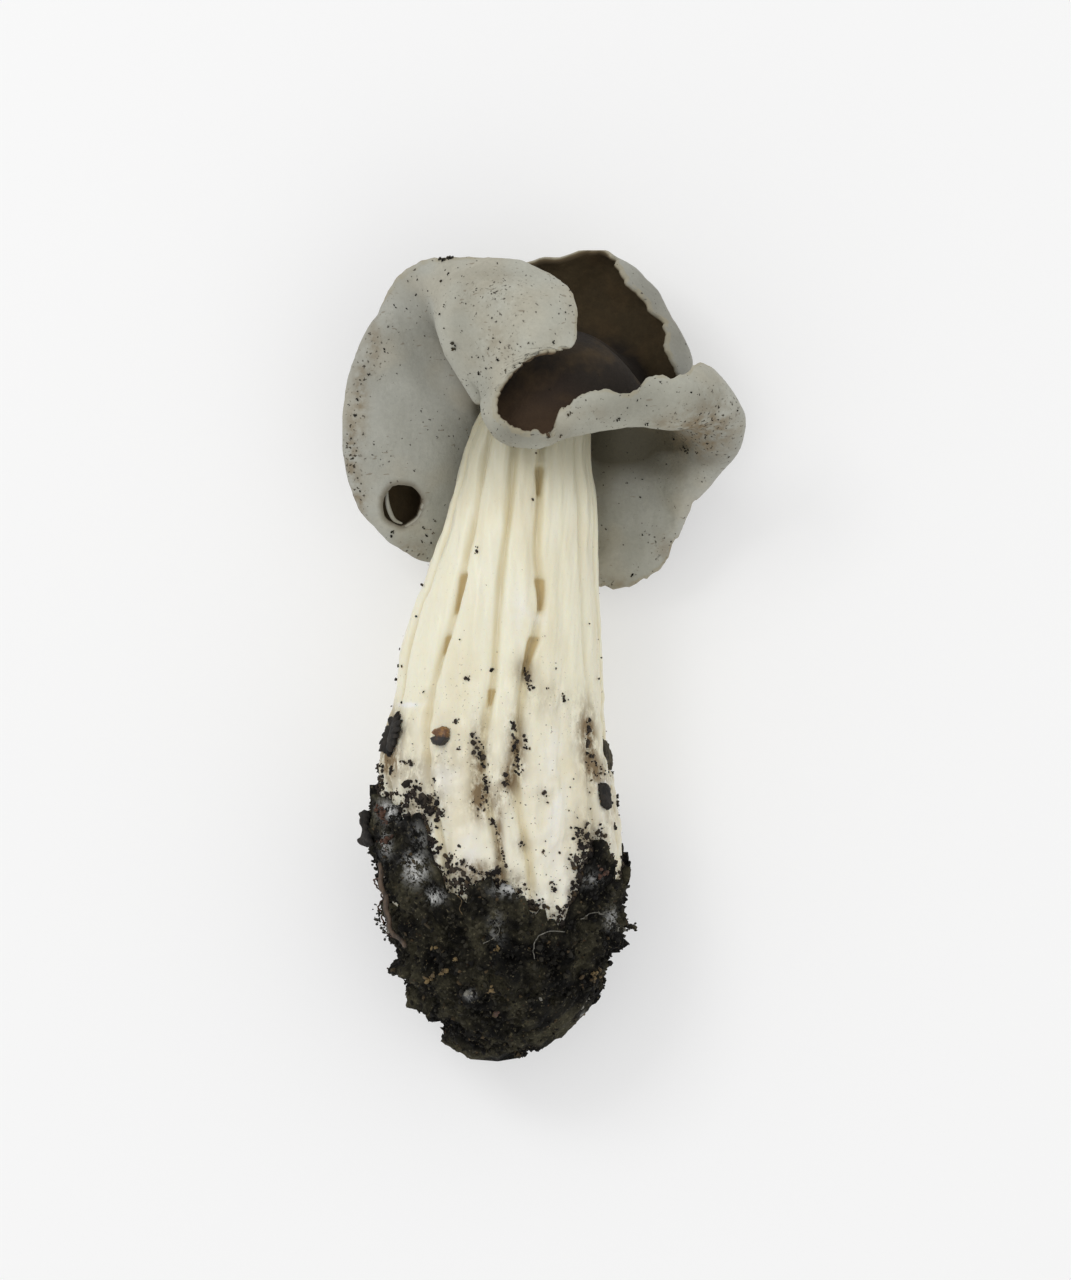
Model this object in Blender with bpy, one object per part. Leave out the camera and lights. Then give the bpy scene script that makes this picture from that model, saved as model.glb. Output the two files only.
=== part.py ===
"""A picked saddle fungus lying on its back lobes: folded cap, ribbed stem, soil clod and stuck litter.

The frame: +Y runs from the soiled base to the cap, +Z is up, the surface it lies on is Z = 0, and the
origin is the middle of its footprint. All lengths below are millimetres; MM turns them into metres.
"""

import math

import bmesh
import bpy
import numpy as np

MM = 0.001
GAP = 0.35
# What is taken off every point, so that the footprint's middle is the origin.
MIDDLE = (0.12, -0.03, 0.0)
SHARP_DEGREES = 50

# Cap: a thin sheet. Each station is one meridian, from the stem's top out to the margin, as
# (X, Y, Z) at the collar, the valley, the middle of the lobe, near the margin and at the margin.
CAP_POLE = (3.6, 40.4, 18.6)
CAP_POLE_AXIS = (0.08, 0.98, 0.18)
CAP_STATIONS = (
    ("lip", (1.0, 37.8, 24.8), (-0.2, 31.5, 27.6), (-0.8, 27.2, 29.2), (-0.9, 26.8, 32.0), (-0.9, 28.6, 33.4)),
    ("lip left", (-1.5, 37.2, 24.6), (-3.2, 31.8, 27.4), (-4.8, 27.8, 29.0), (-5.4, 27.6, 31.5), (-4.6, 29.0, 33.0)),
    ("neck", (-3.4, 36.5, 23.8), (-5.4, 32.6, 26.6), (-6.9, 30.2, 28.2), (-7.1, 30.8, 31.0), (-6.0, 32.2, 32.6)),
    ("torn edge", (-4.6, 36.0, 22.8), (-6.4, 33.0, 25.4), (-7.5, 31.6, 27.8), (-6.6, 33.6, 31.6), (-3.5, 36.1, 33.4)),
    ("torn top", (-5.2, 35.6, 21.8), (-6.9, 33.2, 24.6), (-7.6, 33.6, 28.4), (-4.6, 36.8, 32.6), (0.3, 38.4, 33.4)),
    ("flap tip", (-5.6, 35.4, 20.8), (-7.3, 33.4, 24.0), (-7.8, 35.6, 28.8), (-2.8, 39.3, 33.2), (3.2, 39.0, 31.2)),
    ("flap right", (-5.9, 35.2, 20.0), (-7.6, 33.6, 23.6), (-8.4, 37.0, 28.6), (-2.2, 42.4, 33.0), (3.9, 43.6, 29.0)),
    ("flap shoulder", (-6.1, 35.0, 19.4), (-8.0, 33.6, 23.4), (-9.4, 37.8, 28.0), (-4.6, 44.6, 31.4), (2.2, 47.2, 27.0)),
    ("flap top", (-6.3, 34.9, 19.0), (-8.2, 33.2, 23.4), (-10.6, 38.4, 27.2), (-8.4, 45.6, 29.0), (-3.4, 49.6, 25.4)),
    ("crest", (-6.5, 34.8, 18.4), (-8.6, 32.8, 21.8), (-12.0, 38.6, 25.0), (-12.9, 44.6, 26.2), (-11.6, 50.2, 23.0)),
    ("crease", (-6.6, 34.6, 17.6), (-8.4, 33.4, 18.4), (-11.6, 37.8, 17.2), (-14.9, 43.4, 19.0), (-17.7, 48.3, 20.2)),
    ("wing top", (-6.6, 34.2, 16.8), (-9.6, 32.8, 15.6), (-14.2, 36.2, 15.0), (-20.1, 42.2, 18.4), (-21.0, 41.8, 13.6)),
    ("wing shoulder", (-6.6, 33.8, 16.0), (-9.6, 31.2, 14.0), (-15.0, 32.2, 14.8), (-24.0, 35.4, 16.8), (-20.8, 34.6, 10.8)),
    ("wing side", (-6.4, 33.4, 15.2), (-9.6, 29.6, 12.8), (-15.4, 27.8, 13.8), (-24.9, 27.2, 15.2), (-20.0, 27.6, 8.4)),
    ("wing low side", (-6.0, 33.0, 14.4), (-9.2, 27.8, 11.2), (-14.6, 23.4, 12.2), (-23.4, 19.6, 13.0), (-16.6, 23.0, 6.4)),
    ("wing corner", (-5.6, 32.8, 13.6), (-8.4, 26.4, 9.8), (-12.8, 20.2, 10.4), (-19.2, 14.8, 10.4), (-14.4, 20.6, 4.8)),
    ("wing foot", (-5.0, 32.8, 12.8), (-7.2, 26.0, 8.6), (-10.4, 18.8, 8.2), (-14.0, 12.3, 7.6), (-12.2, 18.2, 3.0)),
    ("wing heel", (-4.2, 33.2, 12.0), (-5.8, 27.0, 7.4), (-7.8, 20.4, 6.0), (-9.6, 14.8, 4.4), (-10.6, 18.6, 1.4)),
    ("back fold left", (-3.2, 34.0, 11.2), (-4.6, 30.0, 6.6), (-6.4, 26.0, 3.8), (-8.2, 22.8, 1.8), (-9.4, 22.4, 0.2)),
    ("back wall foot", (-1.6, 35.6, 10.6), (-3.4, 34.0, 6.2), (-5.6, 35.0, 3.6), (-7.8, 36.8, 2.4), (-9.4, 38.2, 1.6)),
    ("back wall corner", (0.2, 37.0, 10.4), (-1.6, 37.6, 6.8), (-4.4, 40.4, 5.0), (-7.4, 43.6, 4.8), (-9.6, 45.6, 5.6)),
    ("back top left", (2.0, 38.2, 10.4), (1.0, 40.0, 7.4), (0.0, 43.6, 6.8), (-1.2, 47.4, 8.0), (-1.8, 49.6, 10.0)),
    ("back top", (4.2, 38.8, 10.8), (5.0, 40.6, 8.0), (5.9, 44.6, 7.4), (7.0, 49.2, 8.8), (7.3, 51.1, 11.4)),
    ("back right top", (6.4, 38.8, 11.4), (8.0, 40.2, 8.6), (10.6, 43.6, 8.6), (12.6, 47.5, 11.2), (10.5, 47.9, 14.4)),
    ("back right", (8.4, 38.2, 12.6), (10.8, 38.8, 9.8), (14.0, 39.8, 9.8), (16.8, 41.3, 12.6), (14.9, 42.0, 15.8)),
    ("back right low", (9.8, 37.4, 14.2), (12.6, 36.6, 11.2), (16.2, 36.0, 10.8), (18.6, 36.6, 13.2), (16.8, 36.2, 16.2)),
    ("right fold", (10.4, 36.4, 15.6), (13.0, 33.6, 11.8), (16.4, 31.4, 9.2), (18.4, 30.4, 8.2), (19.4, 29.6, 8.2)),
    ("right fold low", (10.2, 35.6, 16.2), (11.4, 31.0, 10.2), (12.8, 26.6, 5.4), (13.6, 24.0, 2.4), (14.0, 22.8, 0.2)),
    ("right back", (9.8, 35.0, 16.4), (7.6, 30.2, 9.4), (5.4, 23.4, 4.8), (4.0, 17.4, 3.0), (3.4, 13.4, 2.0)),
    ("right foot", (9.8, 34.8, 17.2), (9.2, 29.0, 11.2), (8.6, 20.6, 7.8), (8.4, 13.2, 6.0), (8.4, 9.0, 4.6)),
    ("right corner low", (10.0, 34.7, 18.0), (11.8, 28.4, 10.8), (13.6, 21.4, 9.6), (15.0, 15.4, 9.4), (15.2, 11.8, 8.2)),
    ("right edge", (10.4, 34.8, 18.8), (13.4, 28.8, 11.4), (15.8, 23.8, 11.4), (17.4, 19.4, 12.2), (17.6, 17.4, 11.0)),
    ("right notch", (10.6, 35.2, 19.6), (14.4, 29.6, 12.8), (18.0, 26.2, 15.0), (20.2, 22.8, 15.2), (20.2, 21.2, 13.2)),
    ("shoulder low", (10.6, 35.6, 20.4), (14.6, 30.4, 15.8), (19.2, 27.8, 19.4), (24.0, 26.4, 19.0), (23.8, 26.2, 15.2)),
    ("shoulder", (10.2, 36.0, 21.4), (14.0, 30.8, 19.6), (19.2, 29.2, 22.6), (24.7, 30.8, 22.4), (23.4, 32.4, 18.6)),
    ("corner", (9.4, 36.4, 22.4), (12.6, 30.8, 22.6), (16.8, 29.2, 26.2), (20.5, 33.0, 27.4), (20.0, 36.7, 24.8)),
    ("band", (8.0, 36.8, 23.4), (9.8, 30.8, 25.0), (12.2, 29.6, 28.4), (14.2, 32.2, 30.6), (14.2, 35.2, 29.4)),
    ("band left", (6.0, 37.4, 24.2), (6.4, 31.0, 26.6), (7.0, 28.8, 29.4), (7.6, 30.6, 32.0), (7.6, 33.4, 31.6)),
    ("band root", (3.4, 37.8, 24.8), (2.8, 31.2, 27.4), (2.6, 28.2, 29.4), (2.6, 28.6, 32.4), (2.8, 31.6, 33.0)),
)
CAP_THICK_CENTRE = 1.5
CAP_THICK_MARGIN = 0.9
CAP_COLUMNS = 96
CAP_ROWS = 15
CAP_ROW_CROWDING = 0.9
CAP_POLE_SLOPE = 1.15
# The eroded margin: (waves round the cap, beats, depth in knots, phase), and how soon it fades inwards.
CAP_RAGGED = ((31, 13, 0.05, 1.0), (57, 0, 0.045, 0.0))
CAP_RAGGED_FADE = 8
# How ragged the margin is, as (station number, share).
CAP_RAGGED_AMOUNT = (
    (0, 0.8), (1, 1.0), (4, 1.0), (5, 0.1), (9, 0.15), (11, 0.3), (14, 0.5), (19, 0.6), (23, 0.8), (26, 0.7),
    (30, 0.9), (33, 0.8), (34, 0.3), (36, 0.8),
)
CAP_STEP = 0.01
# The hole eaten through the left wing: centre X and Y, half width in X and Y, and the cut's lowest and highest Z.
WING_HOLE = (-17.9, 19.3, 2.1, 2.6)
WING_HOLE_Z = (9.2, 18.0)
HOLE_SIDES = 14

# Stem: rows of (Y, centre X, centre Z, half width in X, half depth in Z), base to top.
STEM_ROWS = (
    (-44.0, -4.8, 13.4, 7.0, 6.6),
    (-39.0, -4.9, 13.6, 11.4, 10.2),
    (-31.1, -5.1, 13.8, 14.4, 11.8),
    (-24.7, -5.4, 14.0, 15.3, 12.4),
    (-18.4, -5.7, 14.2, 15.1, 12.4),
    (-12.0, -6.2, 14.4, 14.4, 12.0),
    (-5.7, -5.6, 14.7, 13.3, 11.4),
    (0.7, -5.3, 15.0, 12.8, 10.8),
    (7.0, -4.5, 15.5, 11.6, 10.0),
    (13.4, -3.4, 16.0, 10.3, 9.2),
    (19.8, -2.5, 16.5, 9.2, 8.4),
    (26.1, -2.0, 17.0, 8.0, 7.4),
    (31.0, -0.8, 17.4, 7.1, 6.5),
    (34.0, 0.8, 17.8, 5.3, 5.1),
    (36.8, 2.0, 18.2, 3.8, 3.6),
)
STEM_TOP = (2.4, 37.6, 18.3)
STEM_BASE = (-4.8, -45.6, 13.4)
# Grooves: (depth, half width, angles in degrees at GROOVE_LEVELS). Angle 0 faces up and 90 faces +X.
GROOVE_LEVELS = (38.0, 26.0, 13.4, 7.0, 0.7, -5.7, -12.0, -18.4, -24.7, -31.0, -44.0)
GROOVES = (
    (0.75, 0.65, (-48, -44, -39, -35, -37, -43, -38, -35, -30, -28, -27)),
    (0.75, 0.60, (-15, -13, -9.5, -6.2, -3.7, -5.2, -6.5, -5.7, -1, 2, 3)),
    (0.75, 0.65, (10, 12.5, 14.6, 22.4, 17.5, 12.4, 11.6, 9.5, 13, 15, 16)),
    (0.40, 0.80, (32, 33, 35, 38, 38, 36, 34, 31.7, 29, 27, 27)),
    (0.60, 0.70, (51, 52, 52, 55.7, 56.3, 60, 58, 53, 50, 49, 49)),
    (0.70, 0.70, (82, 80, 78, 80, 83, 84, 82, 80, 79, 78, 78)),
    (0.80, 0.80, (108, 106, 108, 112, 110, 108, 110, 112, 110, 108, 108)),
    (0.75, 0.75, (136, 138, 140, 137, 139, 142, 140, 137, 138, 140, 140)),
    (0.80, 0.80, (166, 168, 165, 168, 171, 169, 166, 168, 170, 168, 168)),
    (0.80, 0.75, (198, 196, 198, 200, 197, 196, 199, 201, 199, 198, 198)),
    (0.80, 0.80, (226, 228, 227, 224, 226, 229, 228, 226, 225, 227, 227)),
    (0.75, 0.75, (256, 255, 257, 259, 256, 254, 256, 258, 258, 257, 257)),
    (0.65, 0.75, (284, 285, 287, 289, 288, 286, 288, 292, 295, 296, 296)),
)
# Slits in the grooves: (groove, Y of its top, Y of its foot, half width, extra depth).
SLITS = (
    (2, 23.9, 20.2, 0.42, 1.8),
    (2, 9.8, 5.6, 0.50, 2.0),
    (2, 2.4, -2.6, 0.55, 2.0),
    (0, 10.4, 5.2, 0.48, 1.8),
    (0, 2.6, 0.0, 0.38, 1.6),
    (1, -4.2, -6.4, 0.36, 1.4),
    (6, 14.0, 8.6, 0.50, 2.0),
    (7, -2.0, -7.4, 0.50, 2.0),
    (8, 8.4, 2.6, 0.55, 2.0),
    (9, 18.6, 13.8, 0.45, 1.8),
    (10, -6.0, -11.0, 0.50, 2.0),
    (11, 6.0, 1.4, 0.45, 1.8),
)
# The ribs fade towards the foot: Y where they are at their least, the length of the fade, and the least share.
GROOVE_FADE = (-36.0, 8.0, 0.15)
RIB_CROWN = 0.5
RIB_CROWN_POWER = 2.4
SLIT_SOFT = 1.6
# Where the skin's points lie between one groove (0) and the next (1).
RIB_STEPS = (0.0, 0.12, 0.3, 0.5, 0.7, 0.88)
STEM_STEP = 2.7

# Soil: rows of (Y, centre X, centre Z, half width, half depth) of the clod, foot to top.
SOIL_ROWS = (
    (-50.9, -5.9, 11.6, 3.2, 3.4),
    (-49.2, -5.3, 11.8, 6.2, 5.8),
    (-46.9, -3.9, 12.2, 9.0, 8.4),
    (-44.8, -4.4, 12.5, 10.6, 10.2),
    (-42.7, -5.1, 12.8, 11.8, 11.4),
    (-40.2, -5.4, 12.7, 12.9, 12.9),
    (-36.5, -4.5, 12.8, 13.8, 13.8),
    (-34.0, -5.0, 12.9, 14.7, 14.1),
    (-30.3, -5.1, 13.1, 15.2, 14.2),
    (-24.0, -5.4, 13.6, 16.2, 13.8),
    (-17.0, -5.7, 14.2, 15.9, 13.1),
)
SOIL_TIP = (-5.8, -51.6, 11.6)
# Upper edge of the soil: (angle in degrees, Y).
SOIL_EDGE = (
    (-120, -20.5), (-97, -17.8), (-78, -18.0), (-58, -19.6), (-46, -20.6), (-38, -22.0), (-31, -28.4), (-24, -30.4),
    (-12, -29.2), (-2, -28.9),
    (12, -31.2), (25, -34.2), (34, -33.4), (42, -27.6), (52, -24.2), (64, -27.8), (80, -29.2), (98, -26.0),
    (120, -23.5), (145, -21.0), (170, -23.5), (195, -21.5), (218, -24.5),
)
SOIL_COLUMNS = 60
SOIL_ROW_COUNT = 13
SOIL_LUMP = 0.55
SOIL_LUMP_SIZE = 3.4
SOIL_MIDDLE = (-5.0, -34.0, 13.6)
SOIL_RIM_THICK = 0.9
# Over this length below its upper edge the crust's lumps grow to their full height.
SOIL_RIM_LENGTH = 5.0

# Litter: (name, what it lies on, angle, Y, half width, half length, thickness, turn in degrees).
FLAKES = (
    ("bark_chip", "soil", -88, -22.2, 1.5, 2.2, 0.8, 4),
    ("bark_flake", "stem", -69, -9.9, 1.9, 2.6, 0.8, -8),
    ("leaf_scale", "stem", 83, -12.4, 0.9, 2.1, 0.8, 4),
    ("peat_flake", "stem", 62, -17.8, 0.9, 1.6, 0.8, -4),
    ("seed_husk", "stem", -29, -10.0, 1.3, 0.9, 1.0, 20),
)
FLAKE_SIDES = 16
# How high the litter lies above the skin under it.
FLAKE_LIFT = {"soil": 0.75, "stem": 0.45}
FLAKE_LOW_RINGS = (0.33, 0.67, 1.0)
FLAKE_HIGH_RINGS = (0.9, 0.6, 0.3)
# Rootlet: (angle, Y, radius) along it, and its clearance over the crumbs beside it.
ROOTLET_LIFT = 0.15
ROOTLET_ROWS = 15
ROOTLET_SIDES = 8
ROOTLET_REACH = 0.04
ROOTLET_END = 0.3
ROOTLET = (
    (-64, -26.4, 0.32),
    (-65, -29.6, 0.42),
    (-65, -32.6, 0.40),
    (-65, -35.2, 0.34),
    (-58, -36.8, 0.32),
)

COLOURS = {
    "cap": ((0.36, 0.35, 0.31), 0.75),
    "stem": ((0.78, 0.74, 0.60), 0.5),
    "soil": ((0.022, 0.019, 0.015), 0.95),
    "bark": ((0.020, 0.016, 0.012), 0.85),
    "root": ((0.13, 0.075, 0.040), 0.7),
    "husk": ((0.10, 0.045, 0.015), 0.6),
}


def clear_scene():
    for old in list(bpy.data.objects):
        bpy.data.objects.remove(old)


def material(kind):
    found = bpy.data.materials.get(kind)
    if found:
        return found
    made = bpy.data.materials.new(kind)
    made.use_nodes = True
    colour, roughness = COLOURS[kind]
    shader = made.node_tree.nodes["Principled BSDF"]
    shader.inputs["Base Color"].default_value = (*colour, 1.0)
    shader.inputs["Roughness"].default_value = roughness
    shader.inputs["Metallic"].default_value = 0.0
    return made


def new_object(name, points, faces, kind):
    """An object from points in millimetres and its faces, which are turned outwards and shaded smooth."""
    mesh = bpy.data.meshes.new(name)
    mesh.from_pydata(((np.asarray(points) - MIDDLE) * MM).tolist(), [], faces)
    turned = bmesh.new()
    turned.from_mesh(mesh)
    bmesh.ops.recalc_face_normals(turned, faces=turned.faces)
    turned.to_mesh(mesh)
    turned.free()
    mesh.materials.append(material(kind))
    mesh.shade_smooth()
    mesh.set_sharp_from_angle(angle=math.radians(SHARP_DEGREES))
    made = bpy.data.objects.new(name, mesh)
    bpy.context.scene.collection.objects.link(made)
    return made


def spline(knots, at, start_slope=None):
    """A cubic spline with continuous curvature through knots (rows), read at positions in knot numbers."""
    knots = np.asarray(knots, float)
    last = len(knots) - 1
    matrix = np.diag(np.full(last + 1, 4.0)) + np.diag(np.ones(last), 1) + np.diag(np.ones(last), -1)
    matrix[0, 0] = matrix[last, last] = 2.0
    right = np.zeros_like(knots)
    right[1:last] = 3.0 * (knots[2:] - knots[:-2])
    right[0] = 3.0 * (knots[1] - knots[0])
    right[last] = 3.0 * (knots[last] - knots[last - 1])
    if start_slope is not None:
        matrix[0, 0] = 1.0
        matrix[0, 1] = 0.0
        right[0] = start_slope
    slopes = np.linalg.solve(matrix, right.reshape(last + 1, -1)).reshape(knots.shape)
    return hermite(knots, slopes, at, last)


def ring_spline(knots, at):
    """The same through a closed ring of knots."""
    knots = np.asarray(knots, float)
    count = len(knots)
    matrix = 4.0 * np.eye(count) + np.roll(np.eye(count), 1, axis=1) + np.roll(np.eye(count), -1, axis=1)
    right = 3.0 * (np.roll(knots, -1, axis=0) - np.roll(knots, 1, axis=0))
    slopes = np.linalg.solve(matrix, right.reshape(count, -1)).reshape(knots.shape)
    closed = np.concatenate([knots, knots[:1]])
    closed_slopes = np.concatenate([slopes, slopes[:1]])
    return hermite(closed, closed_slopes, np.mod(at, count), count)


def hermite(knots, slopes, at, last):
    at = np.asarray(at, float)
    index = np.clip(np.floor(at).astype(int), 0, last - 1)
    t = (at - index).reshape(at.shape + (1,) * (knots.ndim - 1))
    a, b, ma, mb = knots[index], knots[index + 1], slopes[index], slopes[index + 1]
    return (
        (2 * t**3 - 3 * t**2 + 1) * a + (t**3 - 2 * t**2 + t) * ma
        + (3 * t**2 - 2 * t**3) * b + (t**3 - t**2) * mb
    )


def smooth_rows(rows, y):
    """Columns 1.. of a table of rows, read smoothly at each Y (column 0)."""
    table = np.asarray(rows, float)
    place = np.interp(y, table[:, 0], np.arange(len(table)))
    return spline(table[:, 1:], place)


def lumps(points, size, seed, waves=14):
    """Smooth noise from -1 to 1: a sum of sine waves of about the given size in seeded directions."""
    random = np.random.default_rng(seed)
    directions = random.normal(size=(waves, 3))
    directions /= np.linalg.norm(directions, axis=1, keepdims=True)
    lengths = size * random.uniform(0.6, 1.5, waves)
    phases = random.uniform(0.0, 2 * math.pi, waves)
    total = np.zeros(points.shape[:-1])
    for direction, length, phase in zip(directions, lengths, phases):
        total += np.sin(points @ direction * (2 * math.pi / length) + phase)
    return total / math.sqrt(waves)


def grid_faces(rows, columns, start):
    """Quads of a grid of rows that close round its columns."""
    r, c = np.meshgrid(np.arange(rows - 1), np.arange(columns), indexing="ij")
    n = (c + 1) % columns
    quads = np.stack([r * columns + c, r * columns + n, (r + 1) * columns + n, (r + 1) * columns + c], axis=-1)
    return (quads.reshape(-1, 4) + start).tolist()


def fan_faces(pole, ring_start, columns):
    """Triangles from a pole to the ring that starts at ring_start."""
    return [(pole, ring_start + c, ring_start + (c + 1) % columns) for c in range(columns)]


def cap_middle(rows, columns):
    """The cap's middle surface: a spline out along each meridian, then a closed spline round the stations."""
    axis = np.array(CAP_POLE_AXIS) / np.linalg.norm(CAP_POLE_AXIS)
    meridians = []
    for station in CAP_STATIONS:
        knots = np.array([CAP_POLE, *station[1:]])
        slope = knots[1] - knots[0]
        slope = (slope - axis * (slope @ axis)) * CAP_POLE_SLOPE
        meridians.append(spline(knots, np.asarray(rows) * (len(knots) - 1), slope))
    return np.swapaxes(ring_spline(np.array(meridians), columns), 0, 1)


def ragged(columns):
    """How far the eroded margin falls short of (or passes) the meridians' ends, in knots."""
    turn = columns / len(CAP_STATIONS) * 2 * math.pi
    total = np.zeros_like(turn)
    for waves, beat, depth, phase in CAP_RAGGED:
        total += depth * np.sin(waves * turn + phase) * (np.sin(beat * turn) if beat else 1.0)
    station, amount = zip(*CAP_RAGGED_AMOUNT)
    return total * np.interp(columns, station, amount, period=len(CAP_STATIONS))


def surface_normals(grid):
    """Unit normals of a grid closed round its columns, pointing away from the spore-bearing side."""
    along = np.gradient(grid, axis=0)
    around = (np.roll(grid, -1, axis=1) - np.roll(grid, 1, axis=1)) / 2
    normals = np.cross(along, around)
    return normals / np.maximum(np.linalg.norm(normals, axis=2, keepdims=True), 1e-9)


def build_cap():
    columns = np.arange(CAP_COLUMNS) * len(CAP_STATIONS) / CAP_COLUMNS
    shares = np.linspace(0.0, 1.0, CAP_ROWS + 1)[1:] ** CAP_ROW_CROWDING
    middle = cap_middle(shares, columns)
    inward = (cap_middle(shares - CAP_STEP, columns) - middle) / (CAP_STEP * (len(CAP_STATIONS[0]) - 1))
    middle += inward * ragged(columns)[None, :, None] * shares[:, None, None] ** CAP_RAGGED_FADE
    normals = surface_normals(middle)
    half = (CAP_THICK_CENTRE + (CAP_THICK_MARGIN - CAP_THICK_CENTRE) * shares[:, None, None]) / 2
    sides = [middle + normals * half, middle - normals * half]
    axis = np.array(CAP_POLE_AXIS) / np.linalg.norm(CAP_POLE_AXIS)
    poles = [CAP_POLE - axis * CAP_THICK_CENTRE / 2, CAP_POLE + axis * CAP_THICK_CENTRE / 2]
    rings = np.concatenate([sides[0], sides[1][::-1]])
    rings[..., 2] = np.maximum(rings[..., 2], 0.0)
    points, faces = closed_column(rings, poles[0], poles[1])
    cap = new_object("cap", points, faces, "cap")
    cut_wing_hole(cap)
    return cap


def cut_wing_hole(cap):
    """The hole eaten through the left wing: an oval prism cut along Z."""
    x, y, half_x, half_y = WING_HOLE
    sides = np.arange(HOLE_SIDES)
    turns = sides * 2 * math.pi / HOLE_SIDES
    outline = np.stack([x + half_x * np.cos(turns), y + half_y * np.sin(turns)], axis=1)
    ends = [np.column_stack([outline, np.full(HOLE_SIDES, z)]) for z in WING_HOLE_Z]
    after = (sides + 1) % HOLE_SIDES
    walls = np.stack([sides, after, HOLE_SIDES + after, HOLE_SIDES + sides], axis=1)
    faces = [sides.tolist(), (HOLE_SIDES + sides).tolist(), *walls.tolist()]
    cutter = new_object("wing_hole_cutter", np.concatenate(ends), faces, "cap")
    cutter.hide_render = True
    cutter.display_type = "WIRE"
    cut = cap.modifiers.new("hole", "BOOLEAN")
    cut.operation = "DIFFERENCE"
    cut.solver = "EXACT"
    cut.object = cutter


def groove_angles(y):
    """Angle of each groove, in radians, at each Y: rows are Y, columns are grooves."""
    levels = np.array(GROOVE_LEVELS)[::-1]
    place = np.interp(y, levels, np.arange(len(levels)))
    angles = np.radians([groove[2][::-1] for groove in GROOVES]).T
    return spline(angles, place)


def window(y, top, foot, soft):
    """1 between foot and top, falling smoothly to 0 over a soft length at each end."""
    rise = np.clip((y - foot) / soft + 0.5, 0, 1) * np.clip((top - y) / soft + 0.5, 0, 1)
    return rise * rise * (3 - 2 * rise)


def stem_inward(y, turn):
    """How far the ribbed skin lies inside the oval of STEM_ROWS, at each Y and angle.

    It is the ribs' rounding, a bell-shaped groove at every groove's angle and a narrow well at each slit.
    """
    angles = groove_angles(y)
    ahead = np.mod(angles - turn[..., None], 2 * math.pi)
    behind = np.mod(turn[..., None] - angles, 2 * math.pi)
    next_groove, last_groove = ahead.min(axis=-1), behind.min(axis=-1)
    across = last_groove / np.maximum(last_groove + next_groove, 1e-9)
    inward = RIB_CROWN * np.abs(2 * across - 1) ** RIB_CROWN_POWER
    mean_radius = smooth_rows(STEM_ROWS, y)[..., 2:].mean(axis=-1, keepdims=True)
    away = np.minimum(ahead, behind) * mean_radius
    for number, (depth, width, _) in enumerate(GROOVES):
        inward = inward + depth * np.exp(-((away[..., number] / width) ** 2))
    for groove, top, foot, half_width, extra in SLITS:
        well = extra / (1 + (away[..., groove] / half_width) ** 6)
        inward = inward + well * window(y, top, foot, SLIT_SOFT)
    foot, length, least = GROOVE_FADE
    return inward * np.clip((y - foot) / length, least, 1.0)


def stem_skin(turn, y, grow):
    """A point of the ribbed stem at an angle and Y, grown outwards."""
    return oval_point(STEM_ROWS, y, turn, grow - stem_inward(y, turn))


def closed_column(rings, first_pole, last_pole):
    """Points and faces of a closed skin through rings, with a pole at each end."""
    count, columns = rings.shape[:2]
    points = np.concatenate([[first_pole, last_pole], rings.reshape(-1, 3)])
    faces = fan_faces(0, 2, columns) + grid_faces(count, columns, 2)
    return points, faces + fan_faces(1, 2 + (count - 1) * columns, columns)


def build_stem():
    """The stem's skin on a net whose columns follow the grooves, closed at both ends."""
    low, high = STEM_ROWS[0][0], STEM_ROWS[-1][0]
    levels = np.linspace(low, high, round((high - low) / STEM_STEP) + 1)
    angles = groove_angles(levels)
    width = np.mod(np.roll(angles, -1, axis=1) - angles, 2 * math.pi)
    turn = (angles[:, :, None] + width[:, :, None] * np.array(RIB_STEPS)).reshape(len(levels), -1)
    rings = stem_skin(turn, np.broadcast_to(levels[:, None], turn.shape), 0.0)
    points, faces = closed_column(rings, STEM_BASE, STEM_TOP)
    return new_object("stem", points, faces, "stem")


def oval_point(rows, y, turn, grow=0.0):
    """A point of an oval column at Y and angle, grown outwards."""
    centre_x, centre_z, half_x, half_z = np.moveaxis(smooth_rows(rows, y), -1, 0)
    x = centre_x + (half_x + grow) * np.sin(turn)
    z = centre_z + (half_z + grow) * np.cos(turn)
    return np.stack([x, y, z], axis=-1)


def soil_edge(turn):
    """Y of the soil's upper edge at each angle."""
    table = np.array(SOIL_EDGE, float)
    first = table[0, 0]
    angle = np.mod(np.degrees(turn) - first, 360) + first
    return ring_spline(table[:, 1], np.interp(angle, np.append(table[:, 0], first + 360), np.arange(len(table) + 1)))


def soil_skin(turn, y, grow):
    """The clod's crumbly skin at an angle and Y, grown outwards: an oval pushed in and out by two sizes of lump.

    The lumps fade out towards the upper edge, where the crust thins to a rim on the stem.
    """
    below = np.clip((soil_edge(turn) - y) / SOIL_RIM_LENGTH, 0.0, 1.0)
    thick = oval_point(SOIL_ROWS, y, turn)
    rim = oval_point(STEM_ROWS, np.maximum(y, STEM_ROWS[0][0]), turn, GAP + SOIL_RIM_THICK)
    rim[..., 1] = y
    point = rim + (thick - rim) * np.minimum(below * 2, 1)[..., None]
    push = point - SOIL_MIDDLE
    push[..., 1] *= 0.5
    push /= np.linalg.norm(push, axis=-1, keepdims=True)
    rough = lumps(point, SOIL_LUMP_SIZE, 5) + 0.5 * lumps(point, SOIL_LUMP_SIZE / 2, 6)
    return point + push * (rough * SOIL_LUMP * below + grow)[..., None]


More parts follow.
